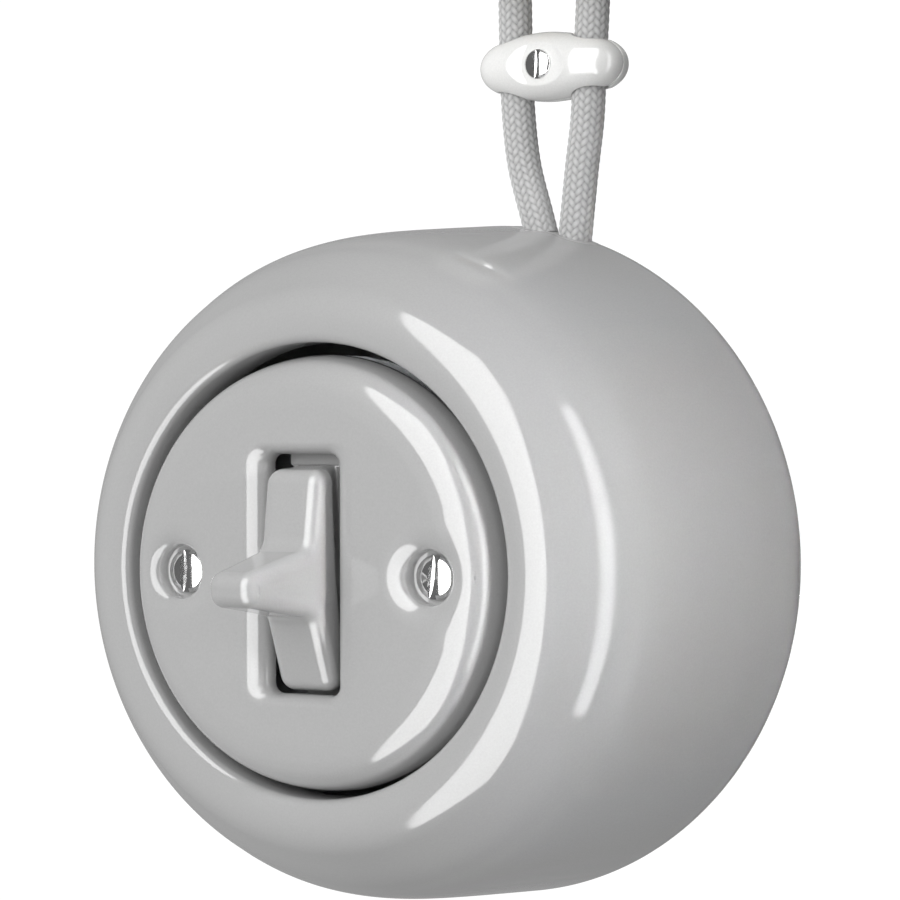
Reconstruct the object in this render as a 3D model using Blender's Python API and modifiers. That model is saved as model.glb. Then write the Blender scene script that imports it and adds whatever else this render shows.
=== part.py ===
"""Hanging porcelain toggle switch on two textile cords, with its cord clip and ceiling rose.

Metres, +Z up, the switch's front towards -Y. The origin is the middle of the ceiling rose's flat
top. The pieces of the switch are children of one empty on the housing's axis, in the plane of the
cover's edge, where x is right, y is up and z points out of the front.
"""
import math

import bmesh
import bpy
from mathutils import Euler, Matrix, Vector

MM = 0.001

# Clearances and overruns
FIT_GAP = 0.3 * MM
RUN_GAP = 0.5 * MM
OVERRUN = 1.0 * MM

# Where the switch hangs below the ceiling, and where its cords leave it
HANG_HEIGHT = 111.0 * MM
CORD_INSET = 11.0 * MM
CORD_SIDE = 12.3 * MM

# Housing
HOUSING_RADIUS = 56.1 * MM
HOUSING_DEPTH = 63.0 * MM
HOUSING_WALL = 4.6 * MM
BACK_FILLET = 10.0 * MM
SIDE_FLARE_SHARE = 0.072
SHOULDER_START = 5.0 * MM
SHOULDER_DROP = 5.0 * MM
SHOULDER_SOFTNESS = 5.6 * MM
WAIST_DEPTH = 9.8 * MM
WAIST_DIP = 0.35 * MM
WAIST_SPREAD = 2.0 * MM
MOUTH_RADIUS = 35.3 * MM
MOUTH_DEPTH = 7.0 * MM
CREST_RADIUS = 38.4 * MM
CREST_HEIGHT = 2.1 * MM
BULGE_RADIUS = 7.5 * MM
BULGE_END = math.radians(51)
BOSS_RADIUS = 4.6 * MM
BOSS_PITCH = 59.0 * MM
BOSS_BORE_DEPTH = 12.0 * MM

# Cover plate
PLATE_FACE = 5.35 * MM
PLATE_FLAT_RADIUS = 26.6 * MM
PLATE_RIM_WIDTH = 7.5 * MM
PLATE_RIM_HEIGHT = 8.5 * MM
PLATE_RIM_SHARE = 0.87
PLATE_WALL = 5.25 * MM
PLATE_SKIRT = 3.2 * MM
SLOT_HALF_WIDTH = 5.8 * MM
SLOT_HALF_HEIGHT = 18.6 * MM
SLOT_CORNER = 1.6 * MM
SLOT_ROLL = 4.4 * MM
SCREW_PITCH = 46.8 * MM
DIMPLE_RADIUS = 4.3 * MM
DIMPLE_ROLL = 2.9 * MM
DIMPLE_DROP = 1.5 * MM
DIMPLE_SEAT = 1.6 * MM

# Screws
HEAD_RADIUS = 3.45 * MM
HEAD_EDGE = 0.7 * MM
HEAD_DOME = 0.7 * MM
HEAD_SLOT_WIDTH = 1.0 * MM
HEAD_SLOT_DEPTH = 0.8 * MM
SHANK_RADIUS = 1.5 * MM
THREAD_LENGTH = 6.0 * MM
SLOT_LEAN = math.radians(6)

# Rocker and its lever, about the pivot
PIVOT_DEPTH = 5.0 * MM
REST_TILT = math.radians(6.5)
ROCKER_HALF_WIDTH = 5.2 * MM
ROCKER_HALF_LENGTH = 17.3 * MM
ROCKER_APEX = 12.9 * MM
ROCKER_FALL = math.radians(14)
ROCKER_EDGE = 1.9 * MM
FLANGE_HALF_WIDTH = 5.45 * MM
FLANGE_HALF_LENGTH = 19.8 * MM
FLANGE_END_HEIGHT = 2.0 * MM
FLANGE_THICKNESS = 1.6 * MM
LEVER_REACH = 26.9 * MM
LEVER_RISE = 1.2 * MM
LEVER_TIP_HALF_WIDTH = 4.3 * MM
LEVER_TIP_HALF_HEIGHT = 2.6 * MM
LEVER_ROOT_HALF_WIDTH = 5.0 * MM
LEVER_ROOT_HALF_HEIGHT = 5.4 * MM
LEVER_NOSE = 1.9 * MM
HUB_RADIUS = 3.4 * MM
HUB_HALF_WIDTH = 5.45 * MM
PIN_RADIUS = 1.25 * MM
PLUNGER_RADIUS = 1.6 * MM
PLUNGER_REACH = 11.0 * MM
SOCKET_RADIUS = 2.6 * MM
STEM_LENGTH = 7.0 * MM
SPRING_RADIUS = 2.05 * MM
SPRING_WIRE = 0.25 * MM
SPRING_TURNS = 4
SPRING_LENGTH = 2.6 * MM

# Steel mounting ring, cradle and pillars
RING_FRONT = 7.6 * MM
RING_THICKNESS = 1.2 * MM
RING_RADIUS = 33.6 * MM
WINDOW_HALF_WIDTH = 8.2 * MM
WINDOW_HALF_HEIGHT = 13.0 * MM
CRADLE_THICKNESS = 1.0 * MM
EAR_HALF_HEIGHT = 4.0 * MM
EAR_FRONT = 2.2 * MM
FOOT_LENGTH = 5.0 * MM
FOOT_HALF_HEIGHT = 6.5 * MM
PILLAR_RADIUS = 3.4 * MM

# Insert base and the contacts inside it
BASE_RADIUS = 24.0 * MM
BASE_DEPTH = 21.0 * MM
BASE_EDGE = 1.0 * MM
POCKET_HALF_WIDTH = 7.6 * MM
POCKET_HALF_HEIGHT = 14.6 * MM
POCKET_DEPTH = 14.5 * MM
CONTACT_PIVOT_GAP = 1.3 * MM
SEESAW_THICKNESS = 1.0 * MM
SEESAW_HALF_WIDTH = 3.0 * MM
SEESAW_HALF_LENGTH = 11.0 * MM
SEESAW_LIFT = 1.5 * MM
RIVET_RADIUS = 1.5 * MM
RIVET_HEIGHT = 0.8 * MM
CONTACT_PIN_RADIUS = 0.8 * MM
STAND_THICKNESS = 1.0 * MM
STRIP_THICKNESS = 1.0 * MM
STRIP_HALF_WIDTH = 3.0 * MM
TERMINAL_SIDE = 8.0 * MM
TERMINAL_HEIGHT = 8.5 * MM
TERMINAL_EDGE = 0.5 * MM
WIRE_HOLE_RADIUS = 1.6 * MM
TERMINAL_RADIUS_POSITION = 19.6 * MM
BASE_SCREW_PITCH = 28.0 * MM

# Cords, their bush, the clip and the ceiling rose
CORD_DIAMETER = 5.4 * MM
CORD_PITCH_AT_BUSH = 7.8 * MM
BUSH_HALF_WIDTH = 8.4 * MM
BUSH_HALF_HEIGHT = 4.1 * MM
BUSH_FLANGE = 0.7 * MM
BUSH_FLANGE_REACH = 1.0 * MM
BUSH_LENGTH = 10.0 * MM
CLIP_DROP = 28.9 * MM
CLIP_HALF_LENGTH = 12.8 * MM
CLIP_LOBE = 5.9 * MM
CLIP_END = 4.0 * MM
CLIP_HALF_DEPTH = 6.2 * MM
CLIP_CORD_PITCH = 14.2 * MM
CLIP_DISH_RADIUS = 3.9 * MM
CLIP_DISH_DEPTH = 1.1 * MM
CLIP_HEAD_RADIUS = 2.6 * MM
CLIP_SHANK_RADIUS = 1.2 * MM
CLIP_NUT_RADIUS = 2.7 * MM
CLIP_NUT_THICKNESS = 1.8 * MM
ROSE_RADIUS = 18.5 * MM
ROSE_HEIGHT = 13.0 * MM
ROSE_EDGE = 5.0 * MM
ROSE_WALL = 3.0 * MM
ROSE_PLATE_THICKNESS = 1.6 * MM
FERRULE_RADIUS = 4.0 * MM
FERRULE_BORE = 2.9 * MM
FERRULE_COLLAR = 1.2 * MM
FERRULE_LENGTH = 5.0 * MM
ROSE_CORD_PITCH = 15.0 * MM

# Facets round a turned piece, by size
ROUND_LARGE = 64
ROUND_MEDIUM = 24
ROUND_SMALL = 16

PORCELAIN_GREY = (0.46, 0.46, 0.46)
PORCELAIN_WHITE = (0.86, 0.86, 0.85)
STEEL_BRIGHT = (0.78, 0.78, 0.78)
STEEL_ZINC = (0.62, 0.63, 0.65)
BRASS_YELLOW = (0.78, 0.62, 0.33)
BASE_BLACK = (0.035, 0.035, 0.037)
RUBBER_GREY = (0.22, 0.22, 0.22)
TEXTILE_GREY = (0.40, 0.40, 0.40)


def clear_scene():
    """Empties the file, so that the script can be run again."""
    for old in list(bpy.data.objects):
        bpy.data.objects.remove(old, do_unlink=True)
    for old in list(bpy.data.collections):
        bpy.data.collections.remove(old)


def new_collection(name):
    made = bpy.data.collections.new(name)
    bpy.context.scene.collection.children.link(made)
    return made


clear_scene()
PARTS = new_collection("porcelain_toggle_switch")
CUTTERS = new_collection("cutters")


def empty(name, location, rotation=(0, 0, 0), parent=None):
    made = bpy.data.objects.new(name, None)
    made.location = location
    made.rotation_euler = Euler(rotation)
    made.parent = parent
    PARTS.objects.link(made)
    return made


def material(name, colour, roughness, metallic=0.0):
    made = bpy.data.materials.get(name)
    if made is None:
        made = bpy.data.materials.new(name)
        made.use_nodes = True
        shader = made.node_tree.nodes["Principled BSDF"]
        shader.inputs["Base Color"].default_value = (*colour, 1.0)
        shader.inputs["Roughness"].default_value = roughness
        shader.inputs["Metallic"].default_value = metallic
    return made


def glazed_grey():
    return material("glazed_porcelain_grey", PORCELAIN_GREY, 0.12)


def glazed_white():
    return material("glazed_porcelain_white", PORCELAIN_WHITE, 0.12)


def bright_steel():
    return material("bright_steel", STEEL_BRIGHT, 0.15, 1.0)


def zinc_steel():
    return material("zinc_steel", STEEL_ZINC, 0.35, 1.0)


def brass():
    return material("brass", BRASS_YELLOW, 0.3, 1.0)


def base_compound():
    return material("base_compound", BASE_BLACK, 0.5)


def grey_rubber():
    return material("grey_rubber", RUBBER_GREY, 0.7)


def grey_textile():
    return material("grey_textile", TEXTILE_GREY, 0.9)


def add_object(name, mesh, finish=None, parent=None, location=(0, 0, 0), rotation=(0, 0, 0)):
    """Links a mesh as a sub-part, or as a cutter where it has no finish."""
    made = bpy.data.objects.new(name, mesh)
    made.parent = parent
    made.location = location
    made.rotation_euler = Euler(rotation)
    if finish is None:
        CUTTERS.objects.link(made)
        made.hide_render = True
        made.display_type = "WIRE"
    else:
        mesh.materials.append(finish)
        PARTS.objects.link(made)
    return made


def shade(obj, angle=math.radians(35)):
    obj.data.shade_smooth()
    obj.data.set_sharp_from_angle(angle=angle)
    return obj


def mesh_from(build):
    """A mesh datablock filled by a function that works on a bmesh."""
    work = bmesh.new()
    build(work)
    bmesh.ops.recalc_face_normals(work, faces=work.faces)
    mesh = bpy.data.meshes.new("shape")
    work.to_mesh(mesh)
    work.free()
    return mesh


def box_mesh(low, high):
    """A box between two corners."""
    def build(work):
        bmesh.ops.create_cube(work, size=1)
        size = Vector(high) - Vector(low)
        middle = (Vector(high) + Vector(low)) / 2
        place = Matrix.Translation(middle) @ Matrix.Diagonal((*size, 1))
        bmesh.ops.transform(work, matrix=place, verts=work.verts)
    return mesh_from(build)


def rod_mesh(radius, low, high, axis="Z", centre=(0, 0), facets=ROUND_SMALL):
    """A cylinder along one axis, from low to high, with centre in the two other coordinates."""
    turn = {"X": Matrix.Rotation(math.pi / 2, 4, "Y"), "Y": Matrix.Rotation(-math.pi / 2, 4, "X"),
            "Z": Matrix.Identity(4)}[axis]
    middle = (low + high) / 2
    place = {"X": (middle, *centre), "Y": (centre[0], middle, centre[1]), "Z": (*centre, middle)}[axis]

    def build(work):
        bmesh.ops.create_cone(work, cap_ends=True, segments=facets, radius1=radius, radius2=radius,
                              depth=high - low)
        bmesh.ops.transform(work, matrix=Matrix.Translation(place) @ turn, verts=work.verts)
    return mesh_from(build)


def loft_mesh(rings):
    """A closed skin through rings of points, each ring the same count, capped at both ends."""
    def build(work):
        rows = [[work.verts.new(point) for point in ring] for ring in rings]
        count = len(rows[0])
        for first, second in zip(rows, rows[1:]):
            for k in range(count):
                after = (k + 1) % count
                work.faces.new((first[k], first[after], second[after], second[k]))
        work.faces.new(rows[0])
        work.faces.new(rows[-1])
    return mesh_from(build)


def turned(name, profile, finish=None, parent=None, location=(0, 0, 0), rotation=(0, 0, 0),
           facets=ROUND_MEDIUM):
    """Turns a profile of (radius, height) about the local z axis with a Screw modifier."""
    mesh = bpy.data.meshes.new(name)
    points = [(radius, 0, height) for radius, height in profile]
    closed = profile[0][0] > 0 or profile[-1][0] > 0
    edges = [(k, k + 1) for k in range(len(points) - 1)]
    if closed:
        edges.append((len(points) - 1, 0))
    mesh.from_pydata(points, edges, [])
    made = add_object(name, mesh, finish, parent, location, rotation)
    turn = made.modifiers.new("turn", "SCREW")
    turn.axis = "Z"
    turn.angle = 2 * math.pi
    turn.steps = facets
    turn.render_steps = facets
    turn.use_merge_vertices = True
    turn.merge_threshold = 0.00001
    turn.use_smooth_shade = True
    return made


def arc(centre, radius, start, end, count):
    """Points of (radius, height) on an arc, its angle counted from the height axis outwards."""
    return [(centre[0] + radius * math.sin(start + (end - start) * k / count),
             centre[1] + radius * math.cos(start + (end - start) * k / count))
            for k in range(count + 1)]


def cut(obj, cutter, operation="DIFFERENCE"):
    change = obj.modifiers.new(operation.lower(), "BOOLEAN")
    change.operation = operation
    change.object = cutter
    change.solver = "EXACT"
    return obj


def bevel(obj, width, segments=2, angle=math.radians(30)):
    change = obj.modifiers.new("edges", "BEVEL")
    change.width = width
    change.segments = segments
    change.limit_method = "ANGLE"
    change.angle_limit = angle
    return obj


def rounded_outline(half_width, half_height, corner, per_corner=4):
    """Points (x, y) of a rectangle with round corners."""
    points = []
    for quarter, (sx, sy) in enumerate(((1, 1), (-1, 1), (-1, -1), (1, -1))):
        for k in range(per_corner + 1):
            angle = math.pi / 2 * (quarter + k / per_corner)
            points.append((sx * (half_width - corner) + corner * math.cos(angle),
                           sy * (half_height - corner) + corner * math.sin(angle)))
    return points


def prism_mesh(outline, low, high, plane="XY"):
    """An outline pushed from low to high along the axis across its plane."""
    def place(point, level):
        if plane == "XY":
            return (point[0], point[1], level)
        return (level, point[0], point[1])
    return loft_mesh([[place(point, level) for point in outline] for level in (low, high)])


# Places that follow from the sizes
CORD_DEPTH = HOUSING_DEPTH - CORD_INSET
PLATE_BACK = PLATE_RIM_HEIGHT - PLATE_FACE
EAR_INNER = FLANGE_HALF_WIDTH + RUN_GAP
SPRING_TOP = -(PIN_RADIUS + OVERRUN + FIT_GAP)
PLUNGER_TOP = SPRING_TOP - SPRING_LENGTH

# Frames
SWITCH = empty("switch_frame", (-CORD_SIDE, -CORD_DEPTH, -HANG_HEIGHT), (math.pi / 2, 0, 0))
ROCKER_AXIS = empty("rocker_axis", (0, 0, -PIVOT_DEPTH), (REST_TILT, 0, 0), SWITCH)
CONTACT_PIVOT_DEPTH = PIVOT_DEPTH + PLUNGER_REACH + FIT_GAP + SEESAW_THICKNESS / 2 + SEESAW_LIFT
CONTACT_AXIS = empty("contact_axis", (0, 0, -CONTACT_PIVOT_DEPTH), (-REST_TILT, 0, 0), SWITCH)


def side_radius(depth):
    """The outer radius: a flared side, less a shoulder that fades with depth and a soft waist."""
    side_end = HOUSING_DEPTH - BACK_FILLET
    line = HOUSING_RADIUS - SIDE_FLARE_SHARE * (side_end - depth)
    waist = WAIST_DIP * math.exp(-((depth - WAIST_DEPTH) / WAIST_SPREAD) ** 2)
    return line - waist - SHOULDER_DROP * math.exp((SHOULDER_START - depth) / SHOULDER_SOFTNESS)


def housing_profile():
    """From the cavity's floor up the inner wall, over the rounded front and down to the back."""
    floor = -(HOUSING_DEPTH - HOUSING_WALL)
    inner = HOUSING_RADIUS - 1.5 * HOUSING_WALL
    inner_fillet = BACK_FILLET - HOUSING_WALL
    nose = CREST_RADIUS - MOUTH_RADIUS
    neck = side_radius(SHOULDER_START + SHOULDER_SOFTNESS) - HOUSING_WALL
    points = [(0, floor), (inner - inner_fillet, floor)]
    points += [(inner, floor + inner_fillet)]
    points += [(inner, -(SHOULDER_START + 3 * SHOULDER_SOFTNESS)),
               (neck, -(SHOULDER_START + 2 * SHOULDER_SOFTNESS)),
               (MOUTH_RADIUS + nose, -(MOUTH_DEPTH + nose)),
               (MOUTH_RADIUS, -MOUTH_DEPTH)]
    points += arc((CREST_RADIUS, CREST_HEIGHT - nose), nose, -math.pi / 2, 0, 5)
    points += arc((CREST_RADIUS, CREST_HEIGHT - BULGE_RADIUS), BULGE_RADIUS, 0, BULGE_END, 6)[1:]
    step_shares = (0, 0.33, 0.6, 0.86, 1.15, 1.5, 2.0, 2.7, 3.6)
    for share in step_shares:
        depth = SHOULDER_START + SHOULDER_SOFTNESS * share
        points.append((side_radius(depth), -depth))
    side_end = HOUSING_DEPTH - BACK_FILLET
    points.append((side_radius((side_end + SHOULDER_START + 3 * SHOULDER_SOFTNESS) / 2),
                   -(side_end + SHOULDER_START + 3 * SHOULDER_SOFTNESS) / 2))
    points += arc((HOUSING_RADIUS - BACK_FILLET, -side_end), BACK_FILLET, math.pi / 2, math.pi, 5)
    points.append((0, -HOUSING_DEPTH))
    return points


BOSS_FRONT = -(RING_FRONT + RING_THICKNESS + FIT_GAP)
BUSH_ANGLE = math.asin(CORD_SIDE / side_radius(CORD_DEPTH))


def bush_place(distance, across=0.0):
    """A point in the switch frame, at a distance from the axis along the cords' opening."""
    out = Vector((math.sin(BUSH_ANGLE), math.cos(BUSH_ANGLE)))
    side = Vector((math.cos(BUSH_ANGLE), -math.sin(BUSH_ANGLE)))
    place = out * distance + side * across
    return Vector((place.x, place.y, -CORD_DEPTH))


def make_housing():
    """One hollow porcelain body, closed at the back, with two bosses and the cords' opening."""
    housing = turned("housing", housing_profile(), glazed_grey(), SWITCH, facets=ROUND_LARGE)
    floor = -(HOUSING_DEPTH - HOUSING_WALL)
    for side, label in ((1, "upper"), (-1, "lower")):
        boss = add_object("boss_" + label, rod_mesh(BOSS_RADIUS, floor - OVERRUN, BOSS_FRONT,
                          centre=(0, side * BOSS_PITCH / 2)), parent=SWITCH)
        cut(housing, boss, "UNION")
        bore = add_object("boss_bore_" + label, rod_mesh(SHANK_RADIUS + FIT_GAP,
                          BOSS_FRONT - BOSS_BORE_DEPTH, BOSS_FRONT + OVERRUN,
                          centre=(0, side * BOSS_PITCH / 2), facets=12), parent=SWITCH)
        cut(housing, bore)
    outline = rounded_outline(BUSH_HALF_WIDTH + FIT_GAP, BUSH_HALF_HEIGHT + FIT_GAP,
                              BUSH_HALF_HEIGHT + FIT_GAP)
    reach = HOUSING_RADIUS + OVERRUN
    start = HOUSING_RADIUS - 3 * HOUSING_WALL
    opening = add_object("cord_opening", prism_mesh(outline, start, reach), parent=SWITCH,
                         location=(0, 0, -CORD_DEPTH), rotation=bush_turn())
    cut(housing, opening)
    return housing


def bush_turn():
    """Turns the local z axis from the front to the direction in which the cords leave."""
    turn = Matrix.Rotation(-BUSH_ANGLE, 4, "Z") @ Matrix.Rotation(-math.pi / 2, 4, "X")
    return turn.to_euler()


def plate_profile():
    """The cover's section, from the middle of its face over the rim to the recess behind."""
    steps = 8
    points = [(0, PLATE_FACE)]
    for k in range(steps + 1):
        angle = math.pi / 2 * k / steps
        points.append((PLATE_FLAT_RADIUS + PLATE_RIM_WIDTH * math.sin(angle) ** PLATE_RIM_SHARE,
                       PLATE_RIM_HEIGHT * abs(math.cos(angle)) ** PLATE_RIM_SHARE - PLATE_BACK))
    edge = points[-1][0]
    points += [(edge - PLATE_SKIRT, -PLATE_BACK),
               (edge - PLATE_SKIRT - OVERRUN, PLATE_FACE - PLATE_WALL), (0, PLATE_FACE - PLATE_WALL)]
    return points


def rolled_slot_mesh():
    """The slot's cutter: straight below, and rolled outwards by a quarter circle to the face."""
    levels = [(0.0, -PLATE_BACK - OVERRUN)]
    steps = 5
    for k in range(steps + 1):
        angle = math.pi / 2 * k / steps
        levels.append((SLOT_ROLL * (1 - math.cos(angle)),
                       PLATE_FACE - SLOT_ROLL + SLOT_ROLL * math.sin(angle)))
    rings = []
    for spread, height in levels:
        outline = rounded_outline(SLOT_HALF_WIDTH + spread, SLOT_HALF_HEIGHT + spread,
                                  SLOT_CORNER + spread)
        rings.append([(x, y, height) for x, y in outline])
    spread = levels[-1][0]
    outline = rounded_outline(SLOT_HALF_WIDTH + spread, SLOT_HALF_HEIGHT + spread, SLOT_CORNER + spread)
    rings.append([(x, y, PLATE_FACE + OVERRUN) for x, y in outline])
    return loft_mesh(rings)


def dimple_profile():
    """The cutter round a cover screw: rolled mouth, seat for the head and hole for the shank."""
    points = [(0, PLATE_FACE + OVERRUN), (DIMPLE_RADIUS + DIMPLE_ROLL, PLATE_FACE + OVERRUN)]
    points += [(DIMPLE_RADIUS + DIMPLE_ROLL * (1 - math.sin(math.pi / 2 * k / 4)),
                PLATE_FACE - DIMPLE_DROP * (1 - math.cos(math.pi / 2 * k / 4))) for k in range(5)]
    points += [(DIMPLE_RADIUS, DIMPLE_SEAT), (SHANK_RADIUS + RUN_GAP, DIMPLE_SEAT),
               (SHANK_RADIUS + RUN_GAP, -PLATE_BACK - OVERRUN), (0, -PLATE_BACK - OVERRUN)]
    return points


def make_cover_plate():
    """The domed cover with its rolled slot and the two dimples round its screws."""
    plate = turned("cover_plate", plate_profile(), glazed_grey(), SWITCH, facets=ROUND_LARGE)
    slot = add_object("rolled_slot", rolled_slot_mesh(), parent=SWITCH)
    cut(plate, slot)
    for side, label in ((-1, "left"), (1, "right")):
        dimple = turned("dimple_" + label, dimple_profile(), parent=SWITCH,
                        location=(side * SCREW_PITCH / 2, 0, 0), facets=ROUND_MEDIUM)
        cut(plate, dimple)
    return plate


def slotted_screw(name, head_bottom, length, place, lean=0.0, parent=SWITCH, rotation=(0, 0, 0),
                  head_radius=HEAD_RADIUS, shank_radius=SHANK_RADIUS):
    """A screw with a raised slotted head, its axis on the local z axis."""
    dome_share = 0.5
    edge_top = head_bottom + HEAD_EDGE
    profile = [(0, edge_top + HEAD_DOME), (head_radius * dome_share, edge_top + 0.8 * HEAD_DOME),
               (head_radius * (1 + dome_share) / 1.7, edge_top + 0.35 * HEAD_DOME),
               (head_radius, edge_top), (head_radius, head_bottom), (shank_radius, head_bottom),
               (shank_radius, head_bottom - length), (0, head_bottom - length)]
    screw = turned(name, profile, bright_steel(), parent, place, rotation, ROUND_SMALL)
    floor = edge_top + HEAD_DOME - HEAD_SLOT_DEPTH
    groove = box_mesh((-HEAD_SLOT_WIDTH / 2, -head_radius - OVERRUN, floor),
                      (HEAD_SLOT_WIDTH / 2, head_radius + OVERRUN, edge_top + HEAD_DOME + OVERRUN))
    spin = (Euler(rotation).to_matrix() @ Matrix.Rotation(lean, 3, "Z")).to_euler()
    cut(screw, add_object(name + "_groove", groove, parent=parent, location=place, rotation=spin))
    return screw


def make_cover_screws():
    """The two bright screws that hold the cover on the ring's pillars."""
    for side, label, lean in ((-1, "left", 0.0), (1, "right", -SLOT_LEAN)):
        head_bottom = DIMPLE_SEAT + FIT_GAP
        length = head_bottom + RING_FRONT
        slotted_screw("cover_screw_" + label, head_bottom, length - RUN_GAP,
                      (side * SCREW_PITCH / 2, 0, 0), lean)


def rocker_outline():
    """The rocker body's side view (y, z): a V whose arms fall away from the lever."""
    fall = math.tan(ROCKER_FALL)
    end = ROCKER_APEX - ROCKER_HALF_LENGTH * fall
    back_end = FLANGE_END_HEIGHT + (FLANGE_HALF_LENGTH - ROCKER_HALF_LENGTH) * fall
    back_middle = FLANGE_END_HEIGHT + FLANGE_HALF_LENGTH * fall
    return [(ROCKER_HALF_LENGTH, end), (0, ROCKER_APEX), (-ROCKER_HALF_LENGTH, end),
            (-ROCKER_HALF_LENGTH, back_end - FLANGE_THICKNESS / 2),
            (0, back_middle - FLANGE_THICKNESS / 2),
            (ROCKER_HALF_LENGTH, back_end - FLANGE_THICKNESS / 2)]


def flange_outline():
    """The thin V behind the rocker's face, which shuts the slot's ends."""
    fall = math.tan(ROCKER_FALL)
    middle = FLANGE_END_HEIGHT + FLANGE_HALF_LENGTH * fall
    return [(FLANGE_HALF_LENGTH, FLANGE_END_HEIGHT), (0, middle),
            (-FLANGE_HALF_LENGTH, FLANGE_END_HEIGHT),
            (-FLANGE_HALF_LENGTH, FLANGE_END_HEIGHT - FLANGE_THICKNESS),
            (0, middle - FLANGE_THICKNESS), (FLANGE_HALF_LENGTH, FLANGE_END_HEIGHT - FLANGE_THICKNESS)]


def lever_mesh():
    """The lever: rounded rectangles that shrink from the rocker's ridge to a blunt nose."""
    root = ROCKER_APEX - LEVER_ROOT_HALF_HEIGHT
    body = LEVER_REACH - LEVER_NOSE
    run_shares = (0.0, 0.25, 0.38, 0.52, 0.72, 1.0)
    width_shares = (0.0, 0.0, 0.25, 0.5, 0.75, 1.0)
    height_shares = (0.0, 0.30, 0.68, 0.86, 0.95, 1.0)
    rings = []
    for run, width, height in zip(run_shares, width_shares, height_shares):
        half_width = LEVER_ROOT_HALF_WIDTH + (LEVER_TIP_HALF_WIDTH - LEVER_ROOT_HALF_WIDTH) * width
        half_height = LEVER_ROOT_HALF_HEIGHT + (LEVER_TIP_HALF_HEIGHT - LEVER_ROOT_HALF_HEIGHT) * height
        corner = min(half_width, half_height) * 0.62
        rings.append((half_width, half_height, corner, root + (body - root) * run, LEVER_RISE * run))
    for k in range(1, 4):
        angle = math.pi / 2 * k / 3.3
        inset = LEVER_NOSE * (1 - math.cos(angle))
        half_width = LEVER_TIP_HALF_WIDTH - inset
        half_height = LEVER_TIP_HALF_HEIGHT - inset
        rings.append((half_width, half_height, min(half_width, half_height) * 0.62,
                      body + LEVER_NOSE * math.sin(angle), LEVER_RISE))
    return loft_mesh([[(x, y + rise, height) for x, y in rounded_outline(half_width, half_height, corner)]
                      for half_width, half_height, corner, height, rise in rings])


def make_rocker():
    """One porcelain piece: V-shaped rocker, its flange, the lever and the hub with its bores."""
    rocker = add_object("rocker", prism_mesh(rocker_outline(), -ROCKER_HALF_WIDTH, ROCKER_HALF_WIDTH,
                                             "YZ"), glazed_grey(), ROCKER_AXIS)
    bevel(rocker, ROCKER_EDGE, 3)
    cut(rocker, add_object("rocker_flange", prism_mesh(flange_outline(), -FLANGE_HALF_WIDTH,
                           FLANGE_HALF_WIDTH, "YZ"), parent=ROCKER_AXIS), "UNION")
    cut(rocker, add_object("rocker_lever", lever_mesh(), parent=ROCKER_AXIS), "UNION")
    neck_top = FLANGE_END_HEIGHT + FLANGE_HALF_LENGTH * math.tan(ROCKER_FALL)
    cut(rocker, add_object("rocker_hub", rod_mesh(HUB_RADIUS, -HUB_HALF_WIDTH, HUB_HALF_WIDTH, "X"),
                           parent=ROCKER_AXIS), "UNION")
    neck = box_mesh((-HUB_HALF_WIDTH, -HUB_RADIUS, 0), (HUB_HALF_WIDTH, HUB_RADIUS, neck_top))
    cut(rocker, add_object("rocker_neck", neck, parent=ROCKER_AXIS), "UNION")
    stem = rod_mesh(HUB_RADIUS + OVERRUN / 2, -STEM_LENGTH, 0)
    cut(rocker, add_object("rocker_stem", stem, parent=ROCKER_AXIS), "UNION")
    reach = FLANGE_HALF_WIDTH + OVERRUN
    cut(rocker, add_object("pin_bore", rod_mesh(PIN_RADIUS + FIT_GAP, -reach, reach, "X", facets=16),
                           parent=ROCKER_AXIS))
    socket = rod_mesh(SOCKET_RADIUS, -PLUNGER_REACH, -PIN_RADIUS - OVERRUN)
    cut(rocker, add_object("plunger_socket", socket, parent=ROCKER_AXIS))
    return rocker


def make_pivot():
    """The steel pin through the rocker's hub and both ears of the cradle."""
    reach = EAR_INNER + CRADLE_THICKNESS + FIT_GAP
    pin = add_object("pivot_pin", rod_mesh(PIN_RADIUS, -reach, reach, "X"), bright_steel(),
                     SWITCH, (0, 0, -PIVOT_DEPTH))
    return pin


def make_plunger():
    """The sprung plunger that snaps the contact over, and its spring, in the rocker's stem."""
    tip = PLUNGER_RADIUS * 0.8
    profile = [(0, PLUNGER_TOP), (SOCKET_RADIUS - FIT_GAP, PLUNGER_TOP),
               (SOCKET_RADIUS - FIT_GAP, PLUNGER_TOP - OVERRUN), (PLUNGER_RADIUS, PLUNGER_TOP - OVERRUN)]
    profile += arc((PLUNGER_RADIUS - tip, -PLUNGER_REACH + tip), tip, math.pi / 2, math.pi, 4)
    profile += [(0, -PLUNGER_REACH)]
    turned("plunger", profile, brass(), ROCKER_AXIS, facets=ROUND_SMALL)
    curve = bpy.data.curves.new("plunger_spring", "CURVE")
    curve.dimensions = "3D"
    curve.bevel_depth = SPRING_WIRE
    curve.bevel_resolution = 1
    curve.use_fill_caps = True
    top = SPRING_TOP - SPRING_WIRE
    bottom = PLUNGER_TOP + FIT_GAP + SPRING_WIRE
    per_turn = 8
    count = SPRING_TURNS * per_turn
    wound = SPRING_RADIUS - SPRING_WIRE
    spline = curve.splines.new("POLY")
    spline.points.add(count)
    for k in range(count + 1):
        angle = 2 * math.pi * k / per_turn
        spline.points[k].co = (wound * math.cos(angle), wound * math.sin(angle),
                               top + (bottom - top) * k / count, 1)
    spring = bpy.data.objects.new("plunger_spring", curve)
    spring.parent = ROCKER_AXIS
    curve.materials.append(bright_steel())
    PARTS.objects.link(spring)


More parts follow.
